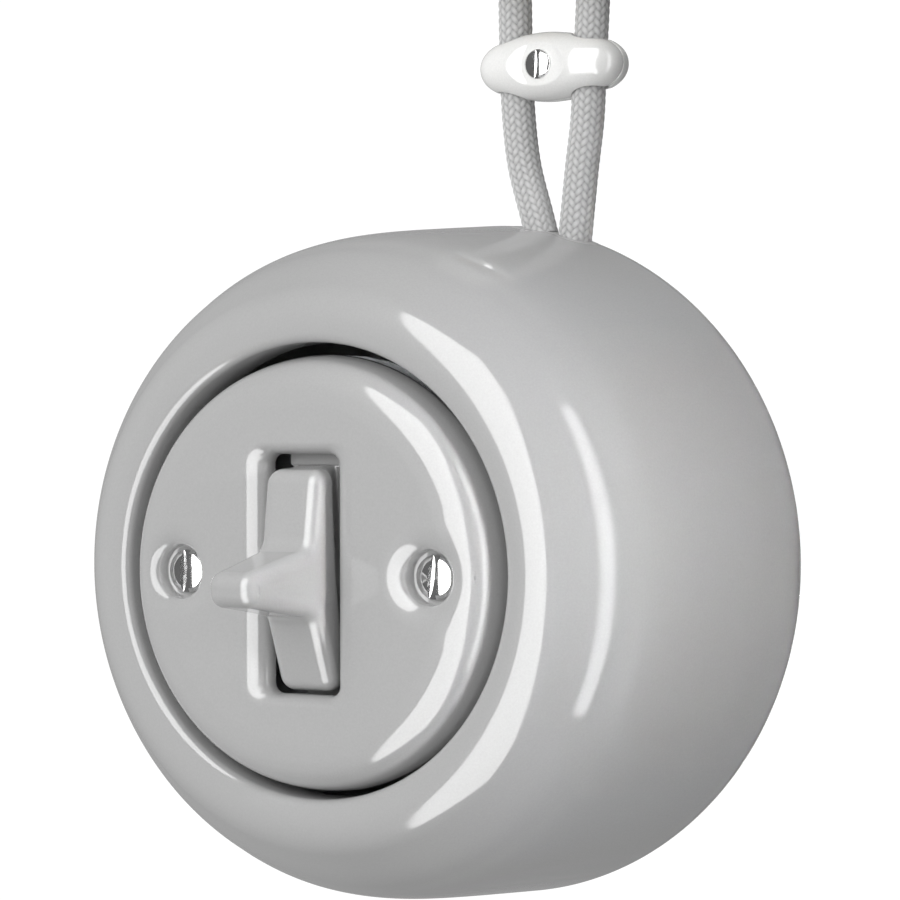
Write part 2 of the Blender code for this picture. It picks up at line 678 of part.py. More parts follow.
def make_ring():
    """The steel ring that carries the mechanism, with its window and screw holes."""
    ring = add_object("mounting_ring", rod_mesh(RING_RADIUS, -RING_FRONT - RING_THICKNESS, -RING_FRONT,
                      facets=48), zinc_steel(), SWITCH)
    through = (-RING_FRONT - RING_THICKNESS - OVERRUN, -RING_FRONT + OVERRUN)
    window = prism_mesh(rounded_outline(WINDOW_HALF_WIDTH, WINDOW_HALF_HEIGHT, SLOT_CORNER), *through)
    cut(ring, add_object("ring_window", window, parent=SWITCH))
    holes = [(0, BOSS_PITCH / 2), (0, -BOSS_PITCH / 2), (SCREW_PITCH / 2, 0), (-SCREW_PITCH / 2, 0)]
    holes += [place for place in base_screw_places()]
    for number, place in enumerate(holes):
        hole = rod_mesh(SHANK_RADIUS + RUN_GAP, *through, centre=place, facets=16)
        cut(ring, add_object("ring_hole_%d" % number, hole, parent=SWITCH))
    return ring


def base_screw_places():
    """The two screws between ring and base stand on a diagonal, clear of cradle and terminals."""
    reach = BASE_SCREW_PITCH / 2
    return [(reach, reach), (-reach, -reach)]


def make_cradle():
    """Two bent steel ears on the ring, one each side of the rocker, which carry the pin."""
    for side, label in ((-1, "left"), (1, "right")):
        inner = side * EAR_INNER
        outer = side * (EAR_INNER + CRADLE_THICKNESS)
        foot_outer = side * (EAR_INNER + CRADLE_THICKNESS + FOOT_LENGTH)
        bottom = -RING_FRONT + FIT_GAP
        low, high = min(inner, outer), max(inner, outer)
        ear = add_object("cradle_ear_" + label, box_mesh((low, -EAR_HALF_HEIGHT, bottom),
                         (high, EAR_HALF_HEIGHT, -EAR_FRONT)), zinc_steel(), SWITCH)
        low, high = min(inner, foot_outer), max(inner, foot_outer)
        foot = box_mesh((low, -FOOT_HALF_HEIGHT, bottom), (high, FOOT_HALF_HEIGHT,
                        bottom + CRADLE_THICKNESS))
        cut(ear, add_object("cradle_foot_" + label, foot, parent=SWITCH), "UNION")
        hole = rod_mesh(PIN_RADIUS + FIT_GAP, min(inner, outer) - OVERRUN, max(inner, outer) + OVERRUN,
                        "X", (0, -PIVOT_DEPTH), 16)
        cut(ear, add_object("cradle_hole_" + label, hole, parent=SWITCH))


def make_pillars():
    """The threaded brass pillars on the ring that take the cover's screws."""
    top = PLATE_FACE - PLATE_WALL - FIT_GAP
    bottom = -RING_FRONT + FIT_GAP
    bore = SHANK_RADIUS + FIT_GAP
    for side, label in ((-1, "left"), (1, "right")):
        profile = [(bore, top), (PILLAR_RADIUS, top), (PILLAR_RADIUS, bottom), (bore, bottom)]
        turned("cover_pillar_" + label, profile, brass(), SWITCH, (side * SCREW_PITCH / 2, 0, 0),
               facets=6)


def make_ring_screws():
    """The screws that hold the ring on the housing's bosses, and the base under the ring."""
    head_bottom = -RING_FRONT + FIT_GAP
    for side, label in ((1, "upper"), (-1, "lower")):
        slotted_screw("ring_screw_" + label, head_bottom, RING_THICKNESS + BOSS_BORE_DEPTH * 0.8,
                      (0, side * BOSS_PITCH / 2, 0))
    for place, label in zip(base_screw_places(), ("right", "left")):
        slotted_screw("base_screw_" + label, head_bottom, RING_THICKNESS + THREAD_LENGTH,
                      (*place, 0))


BASE_FRONT = -(RING_FRONT + RING_THICKNESS + FIT_GAP)
POCKET_FLOOR = BASE_FRONT - POCKET_DEPTH
TERMINAL_TOP = BASE_FRONT - BASE_DEPTH + TERMINAL_HEIGHT


def terminal_angles():
    """Where the three terminals stand round the base: both switched ones and the common one."""
    return {"upper": math.radians(90), "lower": math.radians(-90), "common": math.radians(180)}


def make_base():
    """The insulating base: a disc with the contacts' pocket and a bay for each terminal."""
    base = add_object("insert_base", rod_mesh(BASE_RADIUS, BASE_FRONT - BASE_DEPTH, BASE_FRONT,
                      facets=48), base_compound(), SWITCH)
    bevel(base, BASE_EDGE, 2)
    pocket = prism_mesh(rounded_outline(POCKET_HALF_WIDTH, POCKET_HALF_HEIGHT, SLOT_CORNER),
                        POCKET_FLOOR, BASE_FRONT + OVERRUN)
    cut(base, add_object("contact_pocket", pocket, parent=SWITCH))
    half = TERMINAL_SIDE / 2 + FIT_GAP
    for label, angle in terminal_angles().items():
        bay = box_mesh((TERMINAL_RADIUS_POSITION - half, -half, BASE_FRONT - BASE_DEPTH - OVERRUN),
                       (BASE_RADIUS + OVERRUN, half, TERMINAL_TOP + FIT_GAP + STRIP_THICKNESS + FIT_GAP))
        cut(base, add_object("terminal_bay_" + label, bay, parent=SWITCH, rotation=(0, 0, angle)))
        slit = box_mesh((0, -STRIP_HALF_WIDTH - FIT_GAP, TERMINAL_TOP),
                        (TERMINAL_RADIUS_POSITION, STRIP_HALF_WIDTH + FIT_GAP,
                         TERMINAL_TOP + FIT_GAP + STRIP_THICKNESS + FIT_GAP))
        cut(base, add_object("strip_slit_" + label, slit, parent=SWITCH, rotation=(0, 0, angle)))
    for number, place in enumerate(base_screw_places()):
        hole = rod_mesh(SHANK_RADIUS + FIT_GAP, BASE_FRONT - THREAD_LENGTH - OVERRUN,
                        BASE_FRONT + OVERRUN, centre=place, facets=16)
        cut(base, add_object("base_hole_%d" % number, hole, parent=SWITCH))
    return base


STRIP_BOTTOM = TERMINAL_TOP + FIT_GAP
CONTACT_X = SEESAW_HALF_WIDTH + FIT_GAP


def make_terminals():
    """Brass blocks with a wire hole and a clamping screw, one at the end of each strip."""
    half = TERMINAL_SIDE / 2
    for label, angle in terminal_angles().items():
        low = TERMINAL_TOP - TERMINAL_HEIGHT
        block = add_object("terminal_" + label, box_mesh((TERMINAL_RADIUS_POSITION - half, -half, low),
                           (TERMINAL_RADIUS_POSITION + half, half, TERMINAL_TOP)), brass(), SWITCH,
                           rotation=(0, 0, angle))
        bevel(block, TERMINAL_EDGE, 1)
        reach = TERMINAL_RADIUS_POSITION + half + OVERRUN
        wire = rod_mesh(WIRE_HOLE_RADIUS, TERMINAL_RADIUS_POSITION, reach, "X",
                        (0, TERMINAL_TOP - TERMINAL_HEIGHT * 0.45), 16)
        cut(block, add_object("wire_hole_" + label, wire, parent=SWITCH, rotation=(0, 0, angle)))
        bore = rod_mesh(SHANK_RADIUS + FIT_GAP, low - OVERRUN, low + TERMINAL_HEIGHT * 0.4,
                        centre=(TERMINAL_RADIUS_POSITION, 0), facets=16)
        cut(block, add_object("clamp_bore_" + label, bore, parent=SWITCH, rotation=(0, 0, angle)))
        place = Vector((TERMINAL_RADIUS_POSITION, 0, low - FIT_GAP))
        place.rotate(Euler((0, 0, angle)))
        slotted_screw("terminal_screw_" + label, 0, TERMINAL_HEIGHT * 0.3, place, angle,
                      rotation=(math.pi, 0, 0), head_radius=HEAD_RADIUS * 0.8)


def make_fixed_contacts():
    """The switched contacts: strips from the terminals that turn up under the seesaw's ends."""
    drop = (SEESAW_HALF_LENGTH - RIVET_RADIUS) * math.sin(REST_TILT)
    rivet_front = (-CONTACT_PIVOT_DEPTH + SEESAW_LIFT - SEESAW_THICKNESS / 2 - RIVET_HEIGHT - drop
                   - FIT_GAP)
    rivet_radius_place = SEESAW_HALF_LENGTH - RIVET_RADIUS
    for label, angle in terminal_angles().items():
        if label == "common":
            continue
        inner = rivet_radius_place - RIVET_RADIUS
        outer = TERMINAL_RADIUS_POSITION + TERMINAL_SIDE / 2 - RUN_GAP
        strip = add_object("fixed_contact_" + label, box_mesh((inner, -STRIP_HALF_WIDTH, STRIP_BOTTOM),
                           (outer, STRIP_HALF_WIDTH, STRIP_BOTTOM + STRIP_THICKNESS)), brass(), SWITCH,
                           rotation=(0, 0, angle))
        post = rod_mesh(RIVET_RADIUS, STRIP_BOTTOM + STRIP_THICKNESS / 2, rivet_front,
                        centre=(rivet_radius_place, 0))
        cut(strip, add_object("contact_post_" + label, post, parent=SWITCH, rotation=(0, 0, angle)),
            "UNION")


def make_common_contact():
    """The common contact: a strip from its terminal with two ears that hold the seesaw's pin."""
    outer = TERMINAL_RADIUS_POSITION + TERMINAL_SIDE / 2 - RUN_GAP
    ear_inner = SEESAW_HALF_WIDTH + RUN_GAP
    ear_outer = ear_inner + STAND_THICKNESS
    half = STRIP_HALF_WIDTH
    strip = add_object("common_contact", box_mesh((-outer, -half, STRIP_BOTTOM),
                       (ear_outer, half, STRIP_BOTTOM + STRIP_THICKNESS)), brass(), SWITCH)
    top = -CONTACT_PIVOT_DEPTH + CONTACT_PIVOT_GAP
    for side, label in ((-1, "left"), (1, "right")):
        low, high = sorted((side * ear_inner, side * ear_outer))
        ear = box_mesh((low, -half, STRIP_BOTTOM + STRIP_THICKNESS / 2), (high, half, top))
        cut(strip, add_object("common_ear_" + label, ear, parent=SWITCH), "UNION")
    bore = rod_mesh(CONTACT_PIN_RADIUS + FIT_GAP, -ear_outer - OVERRUN, ear_outer + OVERRUN, "X",
                    (0, -CONTACT_PIVOT_DEPTH), 16)
    cut(strip, add_object("common_bore", bore, parent=SWITCH))
    pin_reach = ear_outer + FIT_GAP
    add_object("contact_pin", rod_mesh(CONTACT_PIN_RADIUS, -pin_reach, pin_reach, "X", facets=16),
               bright_steel(), SWITCH, (0, 0, -CONTACT_PIVOT_DEPTH))


def make_seesaw():
    """The rocking contact: a brass blade with a rivet at each end and a sleeve on its pin."""
    half = SEESAW_THICKNESS / 2
    back = SEESAW_LIFT - half
    blade = add_object("contact_seesaw", box_mesh((-SEESAW_HALF_WIDTH, -SEESAW_HALF_LENGTH, back),
                       (SEESAW_HALF_WIDTH, SEESAW_HALF_LENGTH, back + SEESAW_THICKNESS)), brass(),
                       CONTACT_AXIS)
    sleeve = rod_mesh(CONTACT_PIN_RADIUS + FIT_GAP + half, -SEESAW_HALF_WIDTH, SEESAW_HALF_WIDTH, "X",
                      facets=16)
    cut(blade, add_object("seesaw_sleeve", sleeve, parent=CONTACT_AXIS), "UNION")
    for side, label in ((1, "upper"), (-1, "lower")):
        rivet = rod_mesh(RIVET_RADIUS, back - RIVET_HEIGHT, back + half,
                         centre=(0, side * (SEESAW_HALF_LENGTH - RIVET_RADIUS)))
        cut(blade, add_object("seesaw_rivet_" + label, rivet, parent=CONTACT_AXIS), "UNION")
    reach = SEESAW_HALF_WIDTH + OVERRUN
    bore = rod_mesh(CONTACT_PIN_RADIUS + FIT_GAP / 2, -reach, reach, "X", facets=16)
    cut(blade, add_object("seesaw_bore", bore, parent=CONTACT_AXIS))


def make_bush():
    """The rubber bush in the housing's opening, with a bore for each cord."""
    outline = rounded_outline(BUSH_HALF_WIDTH, BUSH_HALF_HEIGHT, BUSH_HALF_HEIGHT)
    top = side_radius(CORD_DEPTH)
    bush = add_object("cord_bush", prism_mesh(outline, top - BUSH_LENGTH, top), grey_rubber(), SWITCH,
                      (0, 0, -CORD_DEPTH), bush_turn())
    for side, label in ((-1, "left"), (1, "right")):
        bore = rod_mesh(CORD_DIAMETER / 2 - BUSH_FLANGE, top - BUSH_LENGTH - OVERRUN,
                        top - BUSH_FLANGE_REACH * 3, centre=(side * CORD_PITCH_AT_BUSH / 2, 0),
                        facets=16)
        cut(bush, add_object("bush_bore_" + label, bore, parent=SWITCH, location=(0, 0, -CORD_DEPTH),
                             rotation=bush_turn()))
    return bush


def cord_route(side):
    """Route points of one cord in world space, from the bush through the clip to the rose."""
    top = side_radius(CORD_DEPTH)
    frame = SWITCH.location
    points = []
    for distance in (top + FIT_GAP, top + CORD_DIAMETER * 0.35):
        place = bush_place(distance, side * CORD_PITCH_AT_BUSH / 2)
        points.append(Vector((frame.x + place.x, 0, frame.z + place.y)))
    clip_side = side * CLIP_CORD_PITCH / 2
    clip_level = -CLIP_DROP
    below_share, far_below_share = 0.93, 0.78
    points.append(Vector((clip_side * far_below_share, 0, clip_level - 3 * CORD_DIAMETER)))
    points.append(Vector((clip_side * below_share, 0, clip_level - 1.6 * CORD_DIAMETER)))
    points.append(Vector((clip_side, 0, clip_level)))
    points.append(Vector((side * ROSE_CORD_PITCH / 2, 0, clip_level + 1.8 * CORD_DIAMETER)))
    points.append(Vector((side * ROSE_CORD_PITCH / 2, 0, -ROSE_HEIGHT - FERRULE_COLLAR - FIT_GAP)))
    return points


def smooth_path(points, per_span):
    """A Catmull-Rom curve through the route points."""
    held = [points[0] * 2 - points[1]] + points + [points[-1] * 2 - points[-2]]
    path = []
    for k in range(1, len(held) - 2):
        before, first, second, after = held[k - 1:k + 3]
        for step in range(per_span):
            t = step / per_span
            path.append(0.5 * (2 * first + (second - before) * t
                               + (2 * before - 5 * first + 4 * second - after) * t * t
                               + (3 * first - before - 3 * second + after) * t ** 3))
    path.append(points[-1])
    return path


def make_cords():
    """The two plain cords, as tubes along their smooth routes."""
    for side, label in ((-1, "left"), (1, "right")):
        curve = bpy.data.curves.new("cord_" + label, "CURVE")
        curve.dimensions = "3D"
        curve.bevel_depth = CORD_DIAMETER / 2
        curve.bevel_resolution = 3
        curve.use_fill_caps = True
        route = cord_route(side)
        path = route[:1] + smooth_path(route[1:], 2)
        spline = curve.splines.new("POLY")
        spline.points.add(len(path) - 1)
        for k, place in enumerate(path):
            spline.points[k].co = (*place, 1)
        cord = bpy.data.objects.new("cord_" + label, curve)
        curve.materials.append(grey_textile())
        PARTS.objects.link(cord)


def clip_half_height(share):
    """The clip's half height along its length: round ends that swell to a lobe in the middle."""
    lobe = CLIP_END + (CLIP_LOBE - CLIP_END) * math.exp(-(share / 0.42) ** 2)
    round_off = math.sqrt(max(0.0, 1 - abs(share) ** 6))
    return lobe * round_off


def clip_half_mesh(sign):
    """One clip half: sections across its length, flat at the parting face and domed outside."""
    section_count = 17
    facet_count = 9
    rings = []
    parting = sign * FIT_GAP / 2
    for k in range(section_count):
        share = -math.cos(math.pi * (k + 0.35) / (section_count - 0.3))
        half_height = clip_half_height(share)
        depth = (CLIP_HALF_DEPTH - FIT_GAP) * (1 - abs(share) ** 3.2) ** 0.42
        ring = []
        for j in range(facet_count + 1):
            angle = math.pi * j / facet_count
            flat_share = 0.72
            ring.append((CLIP_HALF_LENGTH * share,
                         parting + sign * depth * math.sin(angle) ** flat_share,
                         half_height * math.cos(angle)))
        rings.append(ring)
    return loft_mesh(rings)


def make_clip():
    """The two-half porcelain clip on the cords, with its screw and nut."""
    centre = Vector((0, 0, -CLIP_DROP))
    for label, sign in (("front", -1), ("rear", 1)):
        half = add_object("clip_" + label, clip_half_mesh(sign), glazed_white(), location=centre)
        for side in (-1, 1):
            groove = rod_mesh(CORD_DIAMETER / 2 + FIT_GAP, -CLIP_LOBE - OVERRUN, CLIP_LOBE + OVERRUN,
                              centre=(side * CLIP_CORD_PITCH / 2, 0), facets=ROUND_SMALL)
            cut(half, add_object("clip_groove_%s_%d" % (label, side), groove, location=centre))
        bore = rod_mesh(CLIP_SHANK_RADIUS + FIT_GAP, -CLIP_HALF_DEPTH - OVERRUN,
                        CLIP_HALF_DEPTH + OVERRUN, "Y", facets=16)
        cut(half, add_object("clip_bore_" + label, bore, location=centre))
    front = bpy.data.objects["clip_front"]
    seat = CLIP_HALF_DEPTH - CLIP_DISH_DEPTH
    dish = turned("clip_dish", [(0, CLIP_HALF_DEPTH + OVERRUN), (CLIP_DISH_RADIUS,
                  CLIP_HALF_DEPTH + OVERRUN), (CLIP_HEAD_RADIUS + FIT_GAP, seat), (0, seat)],
                  location=centre, rotation=(math.pi / 2, 0, 0), facets=ROUND_SMALL)
    cut(front, dish)
    rear = bpy.data.objects["clip_rear"]
    nut_seat = CLIP_HALF_DEPTH - CLIP_NUT_THICKNESS
    recess = rod_mesh(CLIP_NUT_RADIUS + FIT_GAP, nut_seat, CLIP_HALF_DEPTH + OVERRUN, "Y", facets=6)
    cut(rear, add_object("clip_nut_recess", recess, location=centre))
    slotted_screw("clip_screw", seat + FIT_GAP, seat + nut_seat + CLIP_NUT_THICKNESS, centre, 0.0,
                  None, (math.pi / 2, 0, 0), CLIP_HEAD_RADIUS, CLIP_SHANK_RADIUS)
    low = nut_seat + FIT_GAP
    nut = add_object("clip_nut", rod_mesh(CLIP_NUT_RADIUS, low, low + CLIP_NUT_THICKNESS - FIT_GAP, "Y",
                     facets=6), zinc_steel(), location=centre)
    thread = rod_mesh(CLIP_SHANK_RADIUS + FIT_GAP, 0, CLIP_HALF_DEPTH + OVERRUN * 2, "Y", facets=16)
    cut(nut, add_object("clip_thread", thread, location=centre))


def make_rose():
    """The small ceiling rose that holds the cords' upper ends, with its plate and two ferrules."""
    inner = ROSE_RADIUS - ROSE_WALL
    floor = -(ROSE_HEIGHT - ROSE_WALL)
    profile = [(0, floor), (inner - ROSE_WALL, floor), (inner, floor + ROSE_WALL), (inner, 0),
               (ROSE_RADIUS, 0)]
    profile += arc((ROSE_RADIUS - ROSE_EDGE, -(ROSE_HEIGHT - ROSE_EDGE)), ROSE_EDGE,
                   math.pi / 2, math.pi, 5)
    profile += [(0, -ROSE_HEIGHT)]
    rose = turned("ceiling_rose", profile, glazed_white(), facets=36)
    turned("ceiling_plate", [(0, 0), (inner - FIT_GAP, 0), (inner - FIT_GAP, -ROSE_PLATE_THICKNESS),
           (0, -ROSE_PLATE_THICKNESS)], zinc_steel(), facets=ROUND_MEDIUM)
    for side, label in ((-1, "left"), (1, "right")):
        centre = (side * ROSE_CORD_PITCH / 2, 0)
        hole = rod_mesh(FERRULE_BORE + FIT_GAP + OVERRUN / 2, -ROSE_HEIGHT - OVERRUN, floor + OVERRUN,
                        centre=centre)
        cut(rose, add_object("rose_hole_" + label, hole))
        under = -ROSE_HEIGHT - FIT_GAP
        collar_bottom = -ROSE_HEIGHT - FERRULE_COLLAR
        bore = FERRULE_BORE - OVERRUN
        sleeve = FERRULE_BORE + OVERRUN / 2
        profile = [(bore, under + FERRULE_LENGTH), (sleeve, under + FERRULE_LENGTH), (sleeve, under),
                   (FERRULE_RADIUS, under), (FERRULE_RADIUS, collar_bottom), (bore, collar_bottom)]
        turned("cord_ferrule_" + label, profile, brass(), location=(*centre, 0), facets=ROUND_SMALL)


def smooth_all():
    for obj in PARTS.objects:
        if obj.type == "MESH":
            shade(obj)


make_housing()
make_cover_plate()
make_cover_screws()
make_rocker()
make_pivot()
make_plunger()
make_ring()
make_cradle()
make_pillars()
make_ring_screws()
make_base()
make_terminals()
make_fixed_contacts()
make_common_contact()
make_seesaw()
make_bush()
make_cords()
make_clip()
make_rose()
smooth_all()
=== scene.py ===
"""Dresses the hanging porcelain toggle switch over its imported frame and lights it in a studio.

Lengths are in metres. Each piece is worked out with numpy and sits at the origin with its place
in its mesh. Points of the switch itself are given as x to the right, up, and out of its front,
from the middle of the cover in the plane of the cover's edge.
"""
import math

import bpy
import numpy as np
from bpy.props import FloatProperty, FloatVectorProperty, IntProperty, PointerProperty
from mathutils import Matrix, Vector


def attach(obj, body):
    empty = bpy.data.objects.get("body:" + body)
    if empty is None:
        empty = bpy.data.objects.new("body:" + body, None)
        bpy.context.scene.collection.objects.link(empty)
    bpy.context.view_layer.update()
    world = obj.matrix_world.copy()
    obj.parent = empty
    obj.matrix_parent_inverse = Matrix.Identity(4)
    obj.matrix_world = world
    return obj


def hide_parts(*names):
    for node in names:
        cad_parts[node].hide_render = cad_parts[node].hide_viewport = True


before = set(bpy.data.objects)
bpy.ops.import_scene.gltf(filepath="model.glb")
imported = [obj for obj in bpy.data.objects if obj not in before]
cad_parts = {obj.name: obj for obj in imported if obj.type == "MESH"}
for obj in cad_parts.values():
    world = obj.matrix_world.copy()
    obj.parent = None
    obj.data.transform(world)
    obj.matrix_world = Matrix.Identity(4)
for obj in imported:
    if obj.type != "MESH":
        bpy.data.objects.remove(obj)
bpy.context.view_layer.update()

bl_info = {
    "name": "Porcelain toggle switch",
    "version": (1, 0, 0),
    "blender": (4, 5, 0),
    "location": "View3D > Sidebar > Switch",
    "description": "Glazed porcelain switch on two braided cords, with its clip and ceiling rose",
    "category": "Object",
}

MM = 0.001
WELD = 1e-7

# Where the middle of the cover is, and the rocker's pin behind it
SWITCH_PLACE = np.array((-12.3, -52.0, -111.0)) * MM
COVER_SAG = np.array((0.0, 0.0, -0.45)) * MM
PIVOT_DEPTH = 5.0 * MM
REST_TILT = math.radians(6.5)

# The side of the housing: a flare towards the back, less a soft shoulder and a slight waist
SIDE_FLARE = 0.072
SHOULDER_START = 5.0 * MM
SHOULDER_DROP = 5.0 * MM
SHOULDER_SOFTNESS = 5.6 * MM
WAIST_DEPTH = 9.8 * MM
WAIST_DIP = 0.2 * MM
WAIST_SPREAD = 2.0 * MM

# Columns of the slot's edge from a corner to the patch round a screw, and across that patch
SLOT_LEAD, SLOT_PATCH = 25, 37
# Small bevel of the cover's unglazed edges and of its screw seats
COVER_BEVEL = 0.2 * MM
# Points along the flat back of the rocker's side view
ROCKER_BACK = 14
# How far the cords stand from the middle in the clip and in the rose
CLIP_SPREAD, ROSE_SPREAD = 7.1 * MM, 7.5 * MM
FINISHED = {"FINISHED"}


def length(name, words, value):
    return FloatProperty(name=name, description=words, default=value, min=0.0, unit="LENGTH",
                         precision=4)


def colour(name, words, value):
    return FloatVectorProperty(name=name, description=words, default=value, size=3, min=0.0,
                               max=1.0, subtype="COLOR")


class SwitchSizes(bpy.types.PropertyGroup):
    """Sizes of the porcelain, the screws and the cords."""

    housing_radius: length("Housing radius", "Greatest radius of the housing", 56.1 * MM)
    housing_depth: length("Housing depth", "From the cover's edge to the back", 63.0 * MM)
    housing_wall: length("Wall", "Thickness of the housing's wall", 4.6 * MM)
    back_fillet: length("Back edge", "Rounding between side and back", 10.0 * MM)
    crest_radius: length("Crest radius", "Where the front ring stands highest", 38.4 * MM)
    crest_height: length("Crest height", "From the cover's edge out to the ring's crest", 2.1 * MM)
    lip_roll: length("Lip roll", "Radius of the ring's inner edge", 1.5 * MM)
    cover_face: length("Cover height", "Height of the cover's face over its edge", 5.35 * MM)
    slot_half_width: length("Slot half width", "Half the slot's width", 6.5 * MM)
    slot_half_height: length("Slot half height", "Half the slot's height", 18.6 * MM)
    slot_corner: length("Slot corner", "Radius of the slot's corners", 1.6 * MM)
    slot_roll: length("Slot roll", "Width of the slot's rolled edge at its sides", 3.9 * MM)
    slot_end_roll: length("Slot end roll", "Width of the rolled edge at its ends", 1.9 * MM)
    screw_pitch: length("Screw pitch", "Distance between the cover's screws", 46.8 * MM)
    dimple_radius: length("Dimple hole", "Radius of the hole round a screw", 4.3 * MM)
    dimple_reach: length("Dimple reach", "Outer radius of the dimple's soft edge", 8.2 * MM)
    dimple_drop: length("Dimple depth", "Depth of the dimple's soft edge", 1.5 * MM)
    head_radius: length("Screw head", "Radius of a cover screw's head", 3.45 * MM)
    rocker_half_length: length("Rocker half length", "From the pin to a rocker's end", 17.3 * MM)
    lever_reach: length("Lever reach", "From the pin to the lever's nose", 28.3 * MM)
    cord_diameter: length("Cord diameter", "Diameter over the braid", 5.55 * MM)
    clip_drop: length("Clip place", "From the ceiling to the clip's middle", 28.9 * MM)
    rose_radius: length("Rose radius", "Radius of the ceiling rose", 18.5 * MM)
    rose_height: length("Rose height", "Height of the ceiling rose", 13.0 * MM)


class SwitchFinishes(bpy.types.PropertyGroup):
    """Colours of the glazes, metals and yarns."""

    grey_glaze: colour("Grey glaze", "Glaze of the housing, cover and rocker", (0.40, 0.40, 0.40))
    white_glaze: colour("White glaze", "Glaze of the clip and the rose", (0.80, 0.80, 0.79))
    steel: colour("Bright steel", "Screws and pins", (0.72, 0.72, 0.72))
    zinc: colour("Zinc plated steel", "Ring, ears, nut and plate", (0.55, 0.56, 0.58))
    brass: colour("Brass", "Contacts, terminals and ferrules", (0.78, 0.60, 0.30))
    compound: colour("Base compound", "Insulating base", (0.03, 0.03, 0.032))
    rubber: colour("Rubber", "Bush in the cords' opening", (0.36, 0.36, 0.36))
    yarn: colour("Cord yarn", "Light yarn of the braid", (0.52, 0.52, 0.52))


class SwitchStudio(bpy.types.PropertyGroup):
    """Camera and light."""

    lens: FloatProperty(name="Lens", description="Focal length on a 36 mm sensor, in millimetres",
                        default=134.7, min=20.0)
    sky: FloatProperty(name="Room light", description="Brightness of the room's soft light",
                       default=0.90, min=0.0)
    boxes: FloatProperty(name="Softboxes", description="Brightness of the softboxes in the glaze",
                         default=8.0, min=0.0)
    floor_drop: length("Floor", "How far the floor lies below the ceiling", 0.75)
    floor_radius: length("Floor radius", "Radius of the pale floor", 1.4)
    braid_ribs: IntProperty(name="Braid ribs", description="Ribs round a cord", default=16, min=4)


# Numpy surfaces

def sweep(start, end, count):
    """Even steps between two angles in degrees, given in radians."""
    return np.radians(np.linspace(start, end, count))


def unit(vector):
    """Each vector of an array, made one long."""
    return vector / np.linalg.norm(vector, axis=-1, keepdims=True)


def along(line):
    """How far each point lies along a line from its start."""
    return np.concatenate(([0.0], np.cumsum(np.linalg.norm(np.diff(line, axis=0), axis=1))))


def picked(line, gone, count):
    """Points of a line at even steps of the given measure along it."""
    at = np.linspace(0, gone[-1], count)
    return np.stack([np.interp(at, gone, row) for row in line.T], -1)


def in_world(points):
    """Places points (x, up, out) of the switch in the shared frame: front towards -Y."""
    x, up, out = np.moveaxis(np.asarray(points), -1, 0)
    return np.stack((x, -out, up), -1) + SWITCH_PLACE


def on_rocker(points):
    """Turns points (x, up, out) of the rocker by its tilt about the pin, then places them."""
    x, up, out = np.moveaxis(np.asarray(points), -1, 0)
    c, s = math.cos(REST_TILT), math.sin(REST_TILT)
    return in_world(np.stack((x, up * c - out * s, up * s + out * c - PIVOT_DEPTH), -1))


def soften(line, step, width):
    """Resamples an open line at equal steps and smooths it with a Gaussian; its ends stay."""
    gone = along(line)
    count = int(gone[-1] / step) + 2
    even = picked(line, gone, count)
    reach = min(int(3 * width / step) + 1, count - 1)
    weights = np.exp(-0.5 * (np.arange(-reach, reach + 1) * step / width) ** 2)
    weights /= weights.sum()
    before = 2 * even[0] - even[reach:0:-1]
    after = 2 * even[-1] - even[-2:-reach - 2:-1]
    held = np.concatenate((before, even, after))
    return np.stack([np.convolve(held[:, k], weights, "valid") for k in (0, 1)], -1)


def spread(line, count, turn_share=0.6):
    """Picks points of a fine line: close together where it turns, wide apart where straight."""
    step = np.diff(line, axis=0)
    size = np.hypot(*step.T)
    turn = np.abs(np.gradient(np.unwrap(np.arctan2(step[:, 1], step[:, 0])))) + 1e-9
    weight = (1 - turn_share) * size / size.sum() + turn_share * turn / turn.sum()
    return picked(line, np.concatenate(([0.0], np.cumsum(weight))), count)


def arc(centre, radius, start, end, count):
    """Points on a circle, at angles in degrees from the second axis towards the first."""
    a = sweep(start, end, count)
    return np.stack((centre[0] + radius * np.sin(a), centre[1] + radius * np.cos(a)), -1)


def bridge(start, start_way, end, end_way, count):
    """Cubic from one point to another that leaves and arrives along the two unit directions."""
    t = np.linspace(0, 1, count)[:, None]
    reach = np.hypot(*(end - start))
    rise = 3 * t ** 2 - 2 * t ** 3
    return ((1 - rise) * start + (t ** 3 - 2 * t ** 2 + t) * reach * start_way + rise * end
            + (t ** 3 - t ** 2) * reach * end_way)


def revolve(line, around):
    """Point (radius, out) of a line at angle a goes to (radius sin a, radius cos a, out)."""
    a = sweep(0, 360, around + 1)
    radius, out = line[:, :1], line[:, 1:]
    return np.stack((radius * np.sin(a), radius * np.cos(a), out + 0 * a), -1)


def grid_faces(rows, columns, first):
    """Four corners of every square of a grid that starts at vertex number first."""
    corner = first + np.arange(rows - 1)[:, None] * columns + np.arange(columns - 1)
    return np.stack((corner, corner + 1, corner + columns + 1, corner + columns), -1).reshape(-1, 4)


def facing_out(points, faces):
    """Turns the faces of a closed shell over if the volume that they enclose is below nought."""
    a, b, c, d = (points[faces[:, k]] for k in range(4))
    volume = np.einsum("ij,ij->", a, np.cross(b, c)) + np.einsum("ij,ij->", a, np.cross(c, d))
    return faces[:, ::-1] if volume < 0 else faces


def add_object(name, data):
    """A new object in the scene with the given mesh, lamp or camera."""
    made = bpy.data.objects.new(name, data)
    bpy.context.scene.collection.objects.link(made)
    return made


